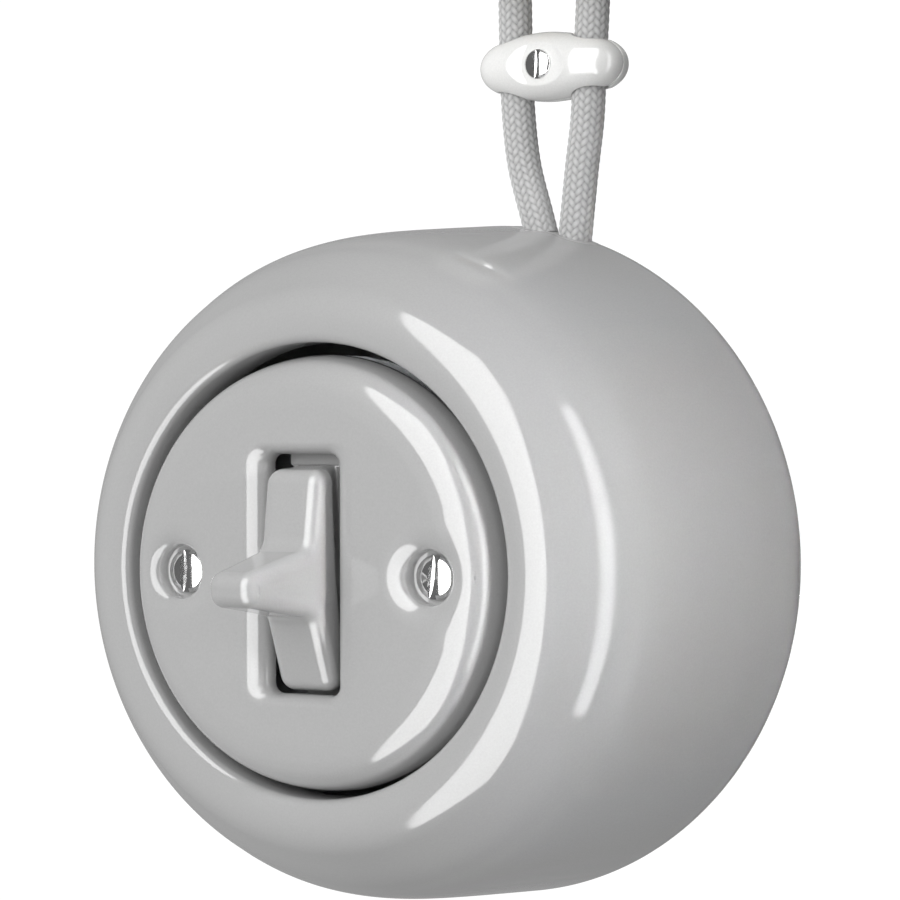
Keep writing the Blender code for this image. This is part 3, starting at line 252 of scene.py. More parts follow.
def put_piece(name, shells, stands_for, slot, body="switch", uvs=None, sharp=None):
    """Makes a piece of closed shells, each a list of grids of points in the shared frame.

    Points that fall on one place are welded, a square with two corners in one place becomes a
    triangle, and each shell is turned to face outwards.
    """
    points, faces, first = [], [], 0
    for shell in shells:
        own = []
        for grid in shell:
            own.append(grid_faces(grid.shape[0], grid.shape[1], first))
            points.append(grid.reshape(-1, 3))
            first += grid.shape[0] * grid.shape[1]
        faces.append(facing_out(np.concatenate(points), np.concatenate(own)))
    points, faces = np.concatenate(points), np.concatenate(faces)
    keys = np.floor(points / WELD + 0.37).astype(np.int64)
    _, pick, where = np.unique(keys, axis=0, return_index=True, return_inverse=True)
    corner = where.reshape(-1)[faces]
    keep = corner != np.roll(corner, -1, axis=1)
    whole = keep.sum(1) > 2
    corner, keep, faces = corner[whole], keep[whole], faces[whole]
    sides = keep.sum(1)
    mesh = bpy.data.meshes.new(name)
    mesh.vertices.add(len(pick))
    mesh.vertices.foreach_set("co", points[pick].ravel())
    mesh.loops.add(int(sides.sum()))
    mesh.loops.foreach_set("vertex_index", corner[keep].astype(np.int32))
    mesh.polygons.add(len(sides))
    mesh.polygons.foreach_set("loop_start", (np.cumsum(sides) - sides).astype(np.int32))
    mesh.polygons.foreach_set("use_smooth", np.ones(len(sides), bool))
    mesh.update(calc_edges=True)
    if uvs is not None:
        layer = mesh.uv_layers.new(name="along")
        layer.data.foreach_set("uv", uvs.reshape(-1, 2)[faces[keep]].ravel())
    if sharp is not None:
        mesh.set_sharp_from_angle(angle=math.radians(sharp))
    if mesh.validate():
        raise RuntimeError(name + ": its mesh had faults")
    piece = add_object(name, mesh)
    mesh.materials.append(finishes()[slot])
    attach(piece, body)
    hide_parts(*stands_for)
    return piece


# Finishes

def new_finish(name, shade, rough, metallic=0.0):
    """A material with its Principled shader, or with None if the material is there already."""
    finish = bpy.data.materials.get(name)
    if finish is not None:
        return finish, None
    finish = bpy.data.materials.new(name)
    finish.use_nodes = True
    shader = finish.node_tree.nodes["Principled BSDF"]
    for key, value in (("Base Color", (*shade, 1)), ("Roughness", rough), ("Metallic", metallic),
                       ("IOR", 1.5)):
        shader.inputs[key].default_value = value
    finish.diffuse_color = (*shade, 1)
    return finish, shader


def add_node(finish, kind, **values):
    """Adds a node and sets its inputs by name, or its own settings."""
    node = finish.node_tree.nodes.new(kind)
    for key, value in values.items():
        if hasattr(node, key):
            setattr(node, key, value)
        else:
            node.inputs[key.replace("_", " ")].default_value = value
    return node


def noise(finish, scale, detail=3.0, rough=0.5):
    """A noise pattern on Object coordinates."""
    place = add_node(finish, "ShaderNodeTexCoord")
    node = add_node(finish, "ShaderNodeTexNoise", Scale=scale, Detail=detail, Roughness=rough)
    finish.node_tree.links.new(place.outputs["Object"], node.inputs["Vector"])
    return node.outputs["Fac"]


def between(finish, fac, low, high, start=0.3, end=0.7):
    """Maps a pattern that runs from start to end onto a range of numbers."""
    node = add_node(finish, "ShaderNodeMapRange", From_Min=start, From_Max=end, To_Min=low,
                    To_Max=high)
    finish.node_tree.links.new(fac, node.inputs["Value"])
    return node.outputs["Result"]


def tinted(finish, shader, fac, shade, low, high):
    """Lightens and darkens a colour with a pattern, by the given shares."""
    node = add_node(finish, "ShaderNodeMix", data_type="RGBA")
    node.inputs[6].default_value = (*[min(1.0, part * low) for part in shade], 1)
    node.inputs[7].default_value = (*[min(1.0, part * high) for part in shade], 1)
    link = finish.node_tree.links.new
    link(fac, node.inputs[0])
    link(node.outputs[2], shader.inputs["Base Color"])


def raised(finish, shader, fac, height, under=None):
    """Adds a bump of the given height in metres from a pattern, on top of another bump."""
    node = add_node(finish, "ShaderNodeBump", Strength=1.0, Distance=height)
    link = finish.node_tree.links.new
    link(fac, node.inputs["Height"])
    if under is not None:
        link(under, node.inputs["Normal"])
    link(node.outputs["Normal"], shader.inputs["Normal"])
    return node.outputs["Normal"]


def speckled(name, shade, rough, metallic, tint, polish):
    """A finish with one pattern in its colour and another in its polish.

    tint is (scale, detail, fineness, start, end, darkest, lightest) and polish (scale, detail,
    fineness, least, most); the last two of each are shares of the shade or of the roughness.
    """
    finish, shader = new_finish(name, shade, rough, metallic)
    if shader is not None:
        *pattern, start, end, low, high = tint
        grain = between(finish, noise(finish, *pattern), 0.0, 1.0, start, end)
        tinted(finish, shader, grain, shade, low, high)
        *pattern, low, high = polish
        uneven = between(finish, noise(finish, *pattern), rough * low, min(1.0, rough * high))
        finish.node_tree.links.new(uneven, shader.inputs["Roughness"])
    return finish, shader


def glaze(name, shade, rough, swell):
    """Poured glaze: fine grain in its colour, slow swells and orange peel in its surface."""
    finish, shader = speckled(name, shade, rough, 0.0, (3200.0, 2.0, 0.6, 0.2, 0.8, 0.955, 1.045),
                              (120.0, 4.0, 0.5, 0.8, 1.35))
    if shader is not None:
        slow = raised(finish, shader, noise(finish, 55.0, 1.0), swell)
        raised(finish, shader, noise(finish, 900.0, 2.0), swell * 0.012, under=slow)
    return finish


def metal(name, shade, rough, grain_scale, grain_depth):
    """Turned or plated metal: uneven polish and fine tool marks."""
    finish, shader = speckled(name, shade, rough, 1.0, (700.0, 4.0, 0.5, 0.0, 1.0, 0.86, 1.1),
                              (900.0, 5.0, 0.6, 0.6, 1.7))
    if shader is not None:
        raised(finish, shader, noise(finish, grain_scale, 4.0, 0.6), grain_depth)
    return finish


def dull(name, shade, rough, grain_scale, grain_depth):
    """Pressed compound or rubber: matt, with a fine pebbled skin."""
    finish, shader = speckled(name, shade, rough, 0.0, (260.0, 5.0, 0.5, 0.0, 1.0, 0.8, 1.25),
                              (500.0, 4.0, 0.5, 0.85, 1.15))
    if shader is not None:
        raised(finish, shader, noise(finish, grain_scale), grain_depth)
    return finish


def braid_yarn(name, shade):
    """Matt textile: painted shade in the dips between the floats from the piece's crest values, and
    fine fibres.
    """
    finish, shader = new_finish(name, shade, 0.92)
    if shader is None:
        return finish
    for key, value in (("Specular IOR Level", 0.25), ("Sheen Weight", 0.25),
                       ("Sheen Roughness", 0.6)):
        shader.inputs[key].default_value = value
    depth = add_node(finish, "ShaderNodeAttribute", attribute_name="crest")
    fibres = noise(finish, 9000.0, 3.0, 0.7)
    fibres_and_dip_shade = add_node(finish, "ShaderNodeMath", operation="MULTIPLY_ADD")
    fibres_and_dip_shade.inputs[1].default_value = 0.35
    link = finish.node_tree.links.new
    link(fibres, fibres_and_dip_shade.inputs[0])
    link(depth.outputs["Fac"], fibres_and_dip_shade.inputs[2])
    # Painted shade: the yarn's colour darkens towards the dips between the floats by the crest
    # values, with a fibre grain mixed in.
    tinted(finish, shader, between(finish, fibres_and_dip_shade.outputs[0], 0.0, 1.0, 0.15, 1.2), shade, 0.45,
           1.18)
    link(between(finish, noise(finish, 700.0), 0.85, 1.0), shader.inputs["Roughness"])
    raised(finish, shader, fibres, 0.00006)
    return finish


def finishes():
    """All finishes by the record's slot names."""
    look = bpy.context.scene.switch_finishes
    return {
        "glazed_porcelain_grey": glaze("grey_glaze", look.grey_glaze, 0.085, 0.00006),
        "glazed_porcelain_white": glaze("white_glaze", look.white_glaze, 0.07, 0.00005),
        "bright_steel": metal("polished_steel", look.steel, 0.08, 2500.0, 0.000002),
        "zinc_steel": metal("zinc_plate", look.zinc, 0.38, 1200.0, 0.00001),
        "brass": metal("turned_brass", look.brass, 0.26, 1800.0, 0.000006),
        "base_compound": dull("pressed_compound", look.compound, 0.42, 800.0, 0.00003),
        "grey_rubber": dull("moulded_rubber", look.rubber, 0.7, 1500.0, 0.00003),
        "grey_textile": braid_yarn("braided_yarn", look.yarn),
    }


# Shapes of the switch

def side_radius(size, depth):
    """Outer radius at a depth: a flared line, less a shoulder that fades and a soft waist."""
    line = size.housing_radius - SIDE_FLARE * (size.housing_depth - size.back_fillet - depth)
    waist = WAIST_DIP * np.exp(-((depth - WAIST_DEPTH) / WAIST_SPREAD) ** 2)
    return line - waist - SHOULDER_DROP * np.exp((SHOULDER_START - depth) / SHOULDER_SOFTNESS)


def turned(angle):
    """Direction at an angle in degrees, from the second axis towards the first."""
    return np.array((math.sin(math.radians(angle)), math.cos(math.radians(angle))))


def housing_line(size):
    """Section of the housing, from the cavity's floor over the front ring to the back's middle."""
    floor = size.housing_wall - size.housing_depth
    inner = size.housing_radius - 1.5 * size.housing_wall
    turn = size.back_fillet - size.housing_wall
    neck = side_radius(size, 10.6 * MM) - size.housing_wall
    brow_radius, crown_radius = 7.8 * MM, 10 * MM
    lip_end, crown_end, brow_end = -7.5, 8, 51
    brow = arc((size.crest_radius, size.crest_height - brow_radius), brow_radius, crown_end,
               brow_end, 40)
    crown = arc(brow[0] - crown_radius * turned(crown_end), crown_radius, lip_end, crown_end,
                30)[:-1]
    lip = arc(crown[0] - size.lip_roll * turned(lip_end), size.lip_roll, -90, lip_end, 30)[:-1]
    inside = np.array(((0, floor), (inner - turn, floor), (inner, floor + turn), (inner, -22 * MM),
                       (neck, -16 * MM), (size.crest_radius, -10 * MM), (lip[0, 0], -7 * MM)))
    depth = np.linspace(8.0 * MM, size.housing_depth - size.back_fillet, 400)
    side = np.stack((side_radius(size, depth), -depth), -1)
    run = bridge(brow[-1], turned(brow_end + 90), side[0], unit(side[1] - side[0]), 60)[1:-1]
    heel = arc((size.housing_radius - size.back_fillet, -depth[-1]), size.back_fillet, 90, 180,
               60)[1:]
    outer = np.concatenate((lip, crown, brow, run, side, heel, ((0, -size.housing_depth),)))
    front = spread(soften(outer, 0.05 * MM, 0.28 * MM), 190)
    back = spread(soften(np.concatenate((inside, lip[:1])), 0.2 * MM, 0.9 * MM), 46)
    return np.concatenate((back[:-1], front))


class PieceStep:
    """What the steps that make a piece share: they build it from the scene's sizes."""

    def execute(self, context):
        self.build(context.scene.switch_sizes)
        return FINISHED


class SWITCH_OT_housing(PieceStep, bpy.types.Operator):
    """Round hollow housing with its front ring, turned from one smooth section"""

    bl_idname = "switch.housing"
    bl_label = "Housing"

    def build(self, size):
        put_piece("porcelain_housing", [[in_world(revolve(housing_line(size), 320))]],
                  ["housing"], "glazed_porcelain_grey")


def cover_rim(size):
    """Section of the cover from its middle over the rounded rim to its back edge."""
    line = np.array(((0, 0), (20, 0), (26.6, -0.06), (29.2, -0.36), (30.5, -0.8), (31.4, -1.35),
                     (32.05, -1.95), (32.45, -2.5), (32.8, -3.05), (33.2, -4.0), (33.7, -5.8),
                     (34.0, -7.6), (34.1, -8.5))) * MM
    return soften(line + (0, size.cover_face), 0.05 * MM, 0.45 * MM)


def slot_columns(size):
    """Foot and direction of each column round the slot: its sides, corners and ends in turn.

    A column's point at an offset d from the slot's outline is foot + (corner radius + d) direction.
    """
    width = size.slot_half_width - size.slot_corner
    height = size.slot_half_height - size.slot_corner
    far = size.slot_half_width + size.slot_roll
    patch = math.radians(22)
    end = math.atan2(height, far)
    turn = np.concatenate((np.linspace(-end, -patch, SLOT_LEAD + 1)[:-1],
                           np.linspace(-patch, patch, SLOT_PATCH),
                           np.linspace(patch, end, SLOT_LEAD + 1)[1:]))
    up = far * np.tan(turn)
    bend = sweep(0, 90, 25)[1:-1]
    across = np.linspace(width, -width, 21)
    feet, ways = [], []
    for x, y, way_x, way_y in ((width, up, 1.0, 0.0), (width, height, np.cos(bend), np.sin(bend)),
                               (across, height, 0.0, 1.0),
                               (-width, height, -np.sin(bend), np.cos(bend))):
        x, y, way_x, way_y = np.broadcast_arrays(x, y, way_x, way_y)
        feet.append(np.stack((x, y), -1))
        ways.append(np.stack((way_x, way_y), -1))
    feet, ways = np.concatenate(feet), np.concatenate(ways)
    feet = np.concatenate((feet, -feet, feet[:1]))
    ways = np.concatenate((ways, -ways, ways[:1]))
    return feet, ways


def lifted(flat, out):
    """Points (x, up) with their place along the out axis added."""
    return np.concatenate((flat, np.broadcast_to(out, flat.shape[:-1])[..., None]), -1)


def on_face(rim, flat, drop=0.0):
    """Points (x, up) set on the cover's domed face, or a drop behind it."""
    face = np.interp(np.hypot(flat[..., 0], flat[..., 1]), rim[:, 0], rim[:, 1])
    return lifted(flat, face - drop)


def dimple_rings(size, rim, border, side):
    """Rings round a cover screw, from a patch's border over the dimple's soft edge to the seat."""
    middle = np.array((side * size.screw_pitch / 2, 0.0))
    toward = unit(border[:, :2] - middle)
    circle = middle + size.dimple_reach * toward
    rings = [border]
    for share in (0.25, 0.5, 0.75, 0.92):
        rings.append(on_face(rim, border[:, :2] + share * (circle - border[:, :2])))
    reach = size.dimple_reach - size.dimple_radius
    for a in sweep(0, 90, 18):
        flat = middle + (size.dimple_reach - reach * math.sin(a)) * toward
        rings.append(on_face(rim, flat, size.dimple_drop * (1 - math.cos(a))))
    hole, seat = size.dimple_radius, 1.6 * MM
    for radius, out in ((hole, 2.9 * MM), (hole, 2.4 * MM), (hole, seat + COVER_BEVEL),
                        (hole - COVER_BEVEL, seat), (2.0 * MM, seat), (0.0, seat)):
        rings.append(lifted(middle + radius * toward, out))
    return np.stack(rings)


def cover_grids(size):
    """The cover as one closed skin of blocks that share their borders.

    The main block runs from the slot's wall over its roll, across the face and the rim, and back
    behind to the slot. Round each screw a patch of it gives way to the dimple's rings.
    """
    feet, ways = slot_columns(size)
    rim = cover_rim(size)
    recess = 0.1 * MM
    corner = size.slot_corner
    rolls = np.hypot(size.slot_roll * ways[:, :1], size.slot_end_roll * ways[:, 1:])
    drop = 3.1 * MM
    ceiling = 1.8 * MM
    wall = feet + corner * ways
    rows = [lifted(wall, out) for out in np.linspace(ceiling, size.cover_face - drop, 5)[:-1]]
    for a in sweep(0, 90, 20):
        flat = feet + (corner + rolls * (1 - math.cos(a))) * ways
        rows.append(on_face(rim, flat, drop * (1 - math.sin(a))))
    near = feet + (corner + rolls) * ways
    ahead = unit(near)
    start, patch_end = 26.6 * MM, 31.5 * MM
    first = len(rows) + 3
    for share in np.linspace(0, 1, 19)[1:]:
        rows.append(on_face(rim, near + share * (start * ahead - near)))
    edge = spread(rim[rim[:, 0] > start], 44, 0.7)
    last = len(rows) + int(np.argmin(np.abs(edge[:, 0] - patch_end)))
    rim_radius, low = edge[-1]
    skirt = rim_radius - 3.2 * MM
    bevel = COVER_BEVEL
    for radius, out in (*edge, (rim_radius - bevel, low - bevel), (skirt + bevel, low - bevel),
                        (skirt, low), (skirt - 0.8 * MM, recess - bevel), (skirt - MM, recess)):
        rows.append(lifted(radius * ahead, out))
    for share in np.linspace(0, 1, 8)[1:]:
        rows.append(lifted((skirt - MM) * ahead * (1 - share) + wall * share,
                           recess + (ceiling - recess) * share))
    main = np.stack(rows)
    half = (main.shape[1] - 1) // 2
    left, right = SLOT_LEAD, SLOT_LEAD + SLOT_PATCH - 1
    grids = [main[:, right:half + left + 1], main[:, half + right:], main[:, :left + 1]]
    for begin, side in ((left, 1), (half + left, -1)):
        columns = slice(begin, begin + SLOT_PATCH)
        grids += [main[:first + 1, columns], main[last:, columns]]
        patch = main[first:last + 1, columns]
        border = np.concatenate((patch[0, :-1], patch[:-1, -1], patch[-1, :0:-1], patch[:0:-1, 0],
                                 patch[:1, 0]))
        grids.append(dimple_rings(size, rim, border, side))
    return grids


class SWITCH_OT_cover(PieceStep, bpy.types.Operator):
    """Porcelain cover with its rolled slot and the dimples round its screws"""

    bl_idname = "switch.cover"
    bl_label = "Cover"

    def build(self, size):
        put_piece("porcelain_cover", [[in_world(grid) + COVER_SAG for grid in cover_grids(size)]],
                  ["cover_plate"], "glazed_porcelain_grey")


def screw_shells(radius, bottom, edge, dome, slot_width, slot_depth, shank, length_below):
    """A slotted head and its shank, about the out axis with the slot upright.

    The head's top is a grid of chords: chord x runs from -sqrt(r^2 - x^2) to +sqrt(r^2 - x^2), at
    the height edge + dome sqrt(1 - (far/r)^2), or on the slot's floor between its two walls.
    """
    half = slot_width / 2
    x = half + (radius - half) * np.sin(sweep(0, 90, 18))
    inner = np.array((0.0, half * 0.7, half - 0.02 * MM))
    xs = np.concatenate((-x[::-1], -inner[:0:-1], inner, x))
    reach = np.sqrt(np.maximum(0.0, radius ** 2 - xs ** 2))
    chord = reach[:, None] * np.sin(sweep(-90, 90, 41))
    far = np.hypot(xs[:, None], chord) / radius
    height = edge + dome * np.sqrt(np.maximum(0.0, 1 - far ** 2))
    floor = edge + dome - slot_depth
    groove = np.abs(xs) < half - 0.01 * MM
    height = np.where(groove[:, None], np.minimum(height, floor), height)
    top = np.stack(np.broadcast_arrays(xs[:, None], chord, height), -1)
    base = top * (1, 1, 0) + (0, 0, bottom)
    walls = [np.stack((top[:, 0], base[:, 0])), np.stack((base[:, -1], top[:, -1]))]
    upper, lower = bottom + 0.1 * MM, bottom - length_below
    rod = revolve(np.array(((0, upper), (shank, upper), (shank, lower), (0, lower))), 32)
    return [[top, base[::-1], *walls], [rod]]


def leaned(grid, lean, place):
    """Turns a grid about the out axis by an angle, clockwise seen from the front, and shifts it."""
    c, s = math.cos(lean), math.sin(lean)
    x, up, out = np.moveaxis(grid, -1, 0)
    return np.stack((x * c + up * s, up * c - x * s, out), -1) + place


class SWITCH_OT_cover_screws(PieceStep, bpy.types.Operator):
    """Two bright slotted screws in the cover's dimples"""

    bl_idname = "switch.cover_screws"
    bl_label = "Cover screws"

    def build(self, size):
        shells = screw_shells(size.head_radius, bottom=1.9 * MM, edge=2.05 * MM, dome=1.2 * MM,
                              slot_width=1.35 * MM, slot_depth=0.95 * MM, shank=1.5 * MM,
                              length_below=9.0 * MM)
        for side, label, lean in ((-1, "left", 0.03), (1, "right", 0.12)):
            place = np.array((side * size.screw_pitch / 2, 0.0, 0.0))
            placed = [[in_world(leaned(grid, lean, place)) + COVER_SAG for grid in shell]
                      for shell in shells]
            put_piece("cover_screw_" + label + "_polished", placed, ["cover_screw_" + label],
                      "bright_steel", sharp=35)


def rocker_side(size, sign):
    """One side view line of the rocker, from the lever's nose to the middle of its back.

    Each corner in turn is rounded: its radius in millimetres, the points on the way to it, and the
    points round it.
    """
    fall = math.tan(math.radians(14))
    apex = 14.2 * MM
    nose_rise, nose_half = 1.45 * MM, 2.4 * MM
    root = (5.6 if sign > 0 else 5.0) * MM
    end, flange = size.rocker_half_length, 19.8 * MM
    back = 0.4 * MM
    corners = np.array(((nose_rise, size.lever_reach),
                        (nose_rise + sign * nose_half, size.lever_reach),
                        (sign * root, apex - root * fall), (sign * end, apex - end * fall),
                        (sign * end, 2.65 * MM), (sign * flange, 2.0 * MM), (sign * flange, back),
                        (0.0, back)))
    rounding = ((2.3, 3, 24), (2.8, 30, 26), (2.7, 34, 20), (0.3, 26, 4), (0.5, 5, 6), (0.5, 5, 6))
    points = [corners[:1]]
    last = corners[0]
    for k, (radius, steps, corner_steps) in enumerate(rounding):
        before, here, after = corners[k:k + 3]
        one, two = unit(before - here), unit(after - here)
        half = math.acos(np.clip(one @ two, -1, 1)) / 2
        reach_back = radius * MM / math.tan(half)
        start, stop = here + one * reach_back, here + two * reach_back
        middle = here + unit(one + two) * radius * MM / math.sin(half)
        t = np.linspace(0, 1, steps + 1)[1:, None]
        points.append(last + t * (start - last))
        t = np.linspace(0, 1, corner_steps + 1)[1:, None]
        swing = math.pi - 2 * half
        a, b = start - middle, stop - middle
        points.append(middle + (np.sin((1 - t) * swing) * a + np.sin(t * swing) * b)
                      / math.sin(swing))
        last = stop
    t = np.linspace(0, 1, ROCKER_BACK + 1)[1:, None]
    points.append(last + t * (corners[-1] - last))
    return np.concatenate(points)


def rocker_grid(size):
    """The rocker and its lever: the side view carried across, with every long edge rolled.

    At an angle a of the roll, a point of the side line moves in by r (1 - cos a) along its normal
    and stands at w - r + r sin a across, where w is the half width and r the roll's radius there.
    The flanks join the rolls of the upper and the lower line, and draw in by 32% below the waist.
    """
    upper, lower = rocker_side(size, 1), rocker_side(size, -1)
    out = (upper[:, 1] + lower[:, 1]) / 2
    hump = np.hanning(13)[1:-1] / np.hanning(13)[1:-1].sum()

    def eased(*table):
        heights, values = np.array(table).T * MM
        return np.convolve(np.pad(np.interp(out, heights, values), 5, mode="edge"), hump, "valid")

    wide = eased((0.4, 5.4), (2.3, 5.4), (3.0, 5.3), (8.0, 5.3), (13.5, 5.25), (18.0, 4.95),
                 (23.0, 4.55), (28.3, 4.2))
    roll = eased((0.4, 0.3), (2.4, 0.35), (4.5, 1.6), (7.0, 2.2), (13.0, 2.3), (15.0, 2.2),
                 (28.3, 2.2))
    back = np.arange(len(out)) >= len(out) - ROCKER_BACK
    shrink = np.where(back, np.abs(upper[:, 0]) / np.abs(upper[-ROCKER_BACK - 1, 0]), 1.0)
    normals = []
    for line, sign in ((upper, 1), (lower, -1)):
        way = unit(np.gradient(line, axis=0))
        way[0], way[-1] = (sign, 0.0), (-sign, 0.0)
        normals.append(sign * np.stack((-way[:, 1], way[:, 0]), -1))
    bend = sweep(0, 90, 15)
    share = np.linspace(0, 1, 13)[1:-1, None]

    def rolled(line, normal, side, angles):
        inset = roll[:, None] * (1 - np.cos(angles))
        flat = line[:, None] - normal[:, None] * inset[..., None]
        across = side * shrink[:, None] * (wide[:, None] - roll[:, None] * (1 - np.sin(angles)))
        return np.concatenate((across[..., None], flat), -1)

    def fade(distance, width):
        return np.clip(distance / (width * MM), 0, 1)

    corners = [rolled(upper, normals[0], 1, bend), rolled(lower, normals[1], 1, bend[::-1]),
               rolled(lower, normals[1], -1, bend), rolled(upper, normals[0], -1, bend[::-1])]
    columns = []
    for here, after in zip(corners, corners[1:] + corners[:1]):
        columns += [here, here[:, -1:] * (1 - share) + after[:, :1] * share]
    ring = np.concatenate(columns + [corners[0][:, :1]], 1)
    up, height = np.abs(ring[..., 1]), ring[..., 2]
    waist, foot = 7.3 * MM - 0.05 * up, 2.9 * MM
    pinch = np.maximum(fade(waist - height, 0.5) * fade(height - 2.7 * MM, 0.4),
                       fade(foot - height, 0.2) * fade(17.4 * MM - up, 0.6))
    ring[..., 0] *= 1 - 0.32 * pinch
    return ring


def ringed(line, around, axis):
    """Closed ring of a section line (radius, place) about the x axis or the out axis."""
    a = sweep(0, 360, around + 1)
    radius, place = line[:, :1], line[:, 1:] + 0 * a
    if axis == "x":
        return np.stack((place, radius * np.cos(a), radius * np.sin(a)), -1)
    return np.stack((radius * np.cos(a), radius * np.sin(a), place), -1)


class SWITCH_OT_rocker(PieceStep, bpy.types.Operator):
    """Rocker and lever in one porcelain piece, with the hub for its pin and plunger behind"""

    bl_idname = "switch.rocker"
    bl_label = "Rocker"

    def build(self, size):
        hub = np.array(((1.55, -5.4), (3.2, -5.4), (3.4, -5.2), (3.4, 5.2), (3.2, 5.4), (1.55, 5.4),
                        (1.55, -5.4))) * MM
        stem = np.array(((2.6, -7.0), (3.7, -7.0), (3.9, -6.8), (3.9, 3.5), (2.6, 3.5),
                         (2.6, -7.0))) * MM
        put_piece("porcelain_rocker", [[on_rocker(rocker_grid(size)) + COVER_SAG],
                                       [on_rocker(ringed(hub, 48, "x"))],
                                       [on_rocker(ringed(stem, 48, "out"))]],
                  ["rocker"], "glazed_porcelain_grey", body="rocker")


# Cords, clip and rose

def bush_place(size, distance, across=0.0):
    """World point at a distance from the housing's axis towards the cords' opening."""
    angle = math.asin(-SWITCH_PLACE[0] / side_radius(size, -SWITCH_PLACE[1]))
    x = math.sin(angle) * distance + math.cos(angle) * across
    up = math.cos(angle) * distance - math.sin(angle) * across
    return np.array((SWITCH_PLACE[0] + x, 0.0, SWITCH_PLACE[2] + up))


def cord_line(size, side, count):
    """Middle line of a cord: a Catmull-Rom curve through its route, in even steps."""
    top = side_radius(size, -SWITCH_PLACE[1])
    thick = size.cord_diameter
    clip, rose, drop = side * CLIP_SPREAD - 0.2 * MM, side * ROSE_SPREAD, -size.clip_drop
    low = bush_place(size, top + 0.35 * thick, side * 3.9 * MM)
    above = np.array((clip * 0.78, 0, drop - 3 * thick))
    foot = low + unit(low - above) * (0.35 * thick + 1.6 * MM)
    route = np.array((low, above, (clip * 0.93, 0, drop - 1.6 * thick), (clip, 0, drop),
                      (rose, 0, drop + 1.8 * thick), (rose, 0, -size.rose_height - 1.5 * MM)))
    held = np.concatenate((2 * route[:1] - route[1:2], route, 2 * route[-1:] - route[-2:-1]))
    t = np.linspace(0, 1, 40, endpoint=False)[:, None]
    spans = [0.5 * (2 * b + (c - a) * t + (2 * a - 5 * b + 4 * c - d) * t ** 2
                    + (3 * b - a - 3 * c + d) * t ** 3)
             for a, b, c, d in zip(held[:-3], held[1:-2], held[2:-1], held[3:])]
    line = np.concatenate((foot[None], *spans, route[-1:]))
    gone = along(line)
    return picked(line, gone, count), gone[-1]


def braid_height(turns, rows):
    """Height from nought to one of a braid of two over two, at a place in strand units.

    Strands of one family lie along lines of equal turns + rows, the other along lines of equal
    turns - rows. Each strand is plump across, and rises and dips once in every four crossings.
    """
    one, two = turns + rows, turns - rows
    lie_one, lie_two = np.floor(one), np.floor(two)

    def plump(place):
        return np.sqrt(np.maximum(0.0, 1 - 0.92 * (2 * (place - np.floor(place)) - 1) ** 2))

    rise_one = np.cos(math.pi / 2 * (two + lie_one - 1))
    rise_two = np.cos(math.pi / 2 * (one + lie_two - 3))
    return np.maximum(0.55 * plump(one) + 0.45 * rise_one, 0.55 * plump(two) + 0.45 * rise_two)


class SWITCH_OT_cords(PieceStep, bpy.types.Operator):
    """Two braided textile cords, from the bush through the clip to the ceiling rose"""

    bl_idname = "switch.cords"
    bl_label = "Cords"

    def build(self, size):
        around, count = 128, 340
        pitch, relief, mean, girth = 1.35 * MM, 0.26 * MM, 0.75, 17 * MM
        ribs = bpy.context.scene.switch_studio.braid_ribs
        a = np.linspace(0, 2 * math.pi, around + 1)
        turns = a / (2 * math.pi)
        for side, label in ((-1, "left"), (1, "right")):
            line, reach = cord_line(size, side, count)
            depth = np.array((0.0, 1.0, 0.0))
            wide = unit(np.cross(unit(np.gradient(line, axis=0)), depth))
            gone = np.linspace(0, reach, count)[:, None]
            height = braid_height(turns * ribs, side * gone / pitch)
            radius = size.cord_diameter / 2 + (height - mean) * relief
            skin = line[:, None] + radius[..., None] * (np.cos(a)[:, None] * wide[:, None]
                                                        + np.sin(a)[:, None] * depth)
            lid = np.stack((np.broadcast_to(line[:1], skin[0].shape), skin[0]))
            foot = np.stack((skin[-1], np.broadcast_to(line[-1:], skin[0].shape)))
            flat = np.stack(np.broadcast_arrays(turns * girth, gone), -1)
            uvs = np.concatenate((flat, flat[[0, 0, -1, -1]])).reshape(-1, 2)
            cord = put_piece("braided_cord_" + label, [[skin, lid, foot]], ["cord_" + label],
                             "grey_textile", uvs=uvs)
            crest_on(cord, line, size.cord_diameter)


def crest_on(cord, line, diameter):
    """Stores on each point how high it lies on the braid, for the shade painted into the yarn's
    dips.
    """
    mesh = cord.data
    spots = np.empty(len(mesh.vertices) * 3)
    mesh.vertices.foreach_get("co", spots)
    spots = spots.reshape(-1, 3)
    place = np.clip(np.searchsorted(line[:, 2], spots[:, 2]), 1, len(line) - 1)
    before, after = line[place - 1], line[place]
    share = (spots[:, 2] - before[:, 2]) / (after[:, 2] - before[:, 2])
    middle = before + share[:, None] * (after - before)
    far = np.linalg.norm(spots - middle, axis=1)
    crest = np.clip((far - diameter / 2 + 0.12 * MM) / (0.21 * MM), 0, 1)
    layer = mesh.attributes.new("crest", "FLOAT", "POINT")
    layer.data.foreach_set("value", crest.astype(np.float32))


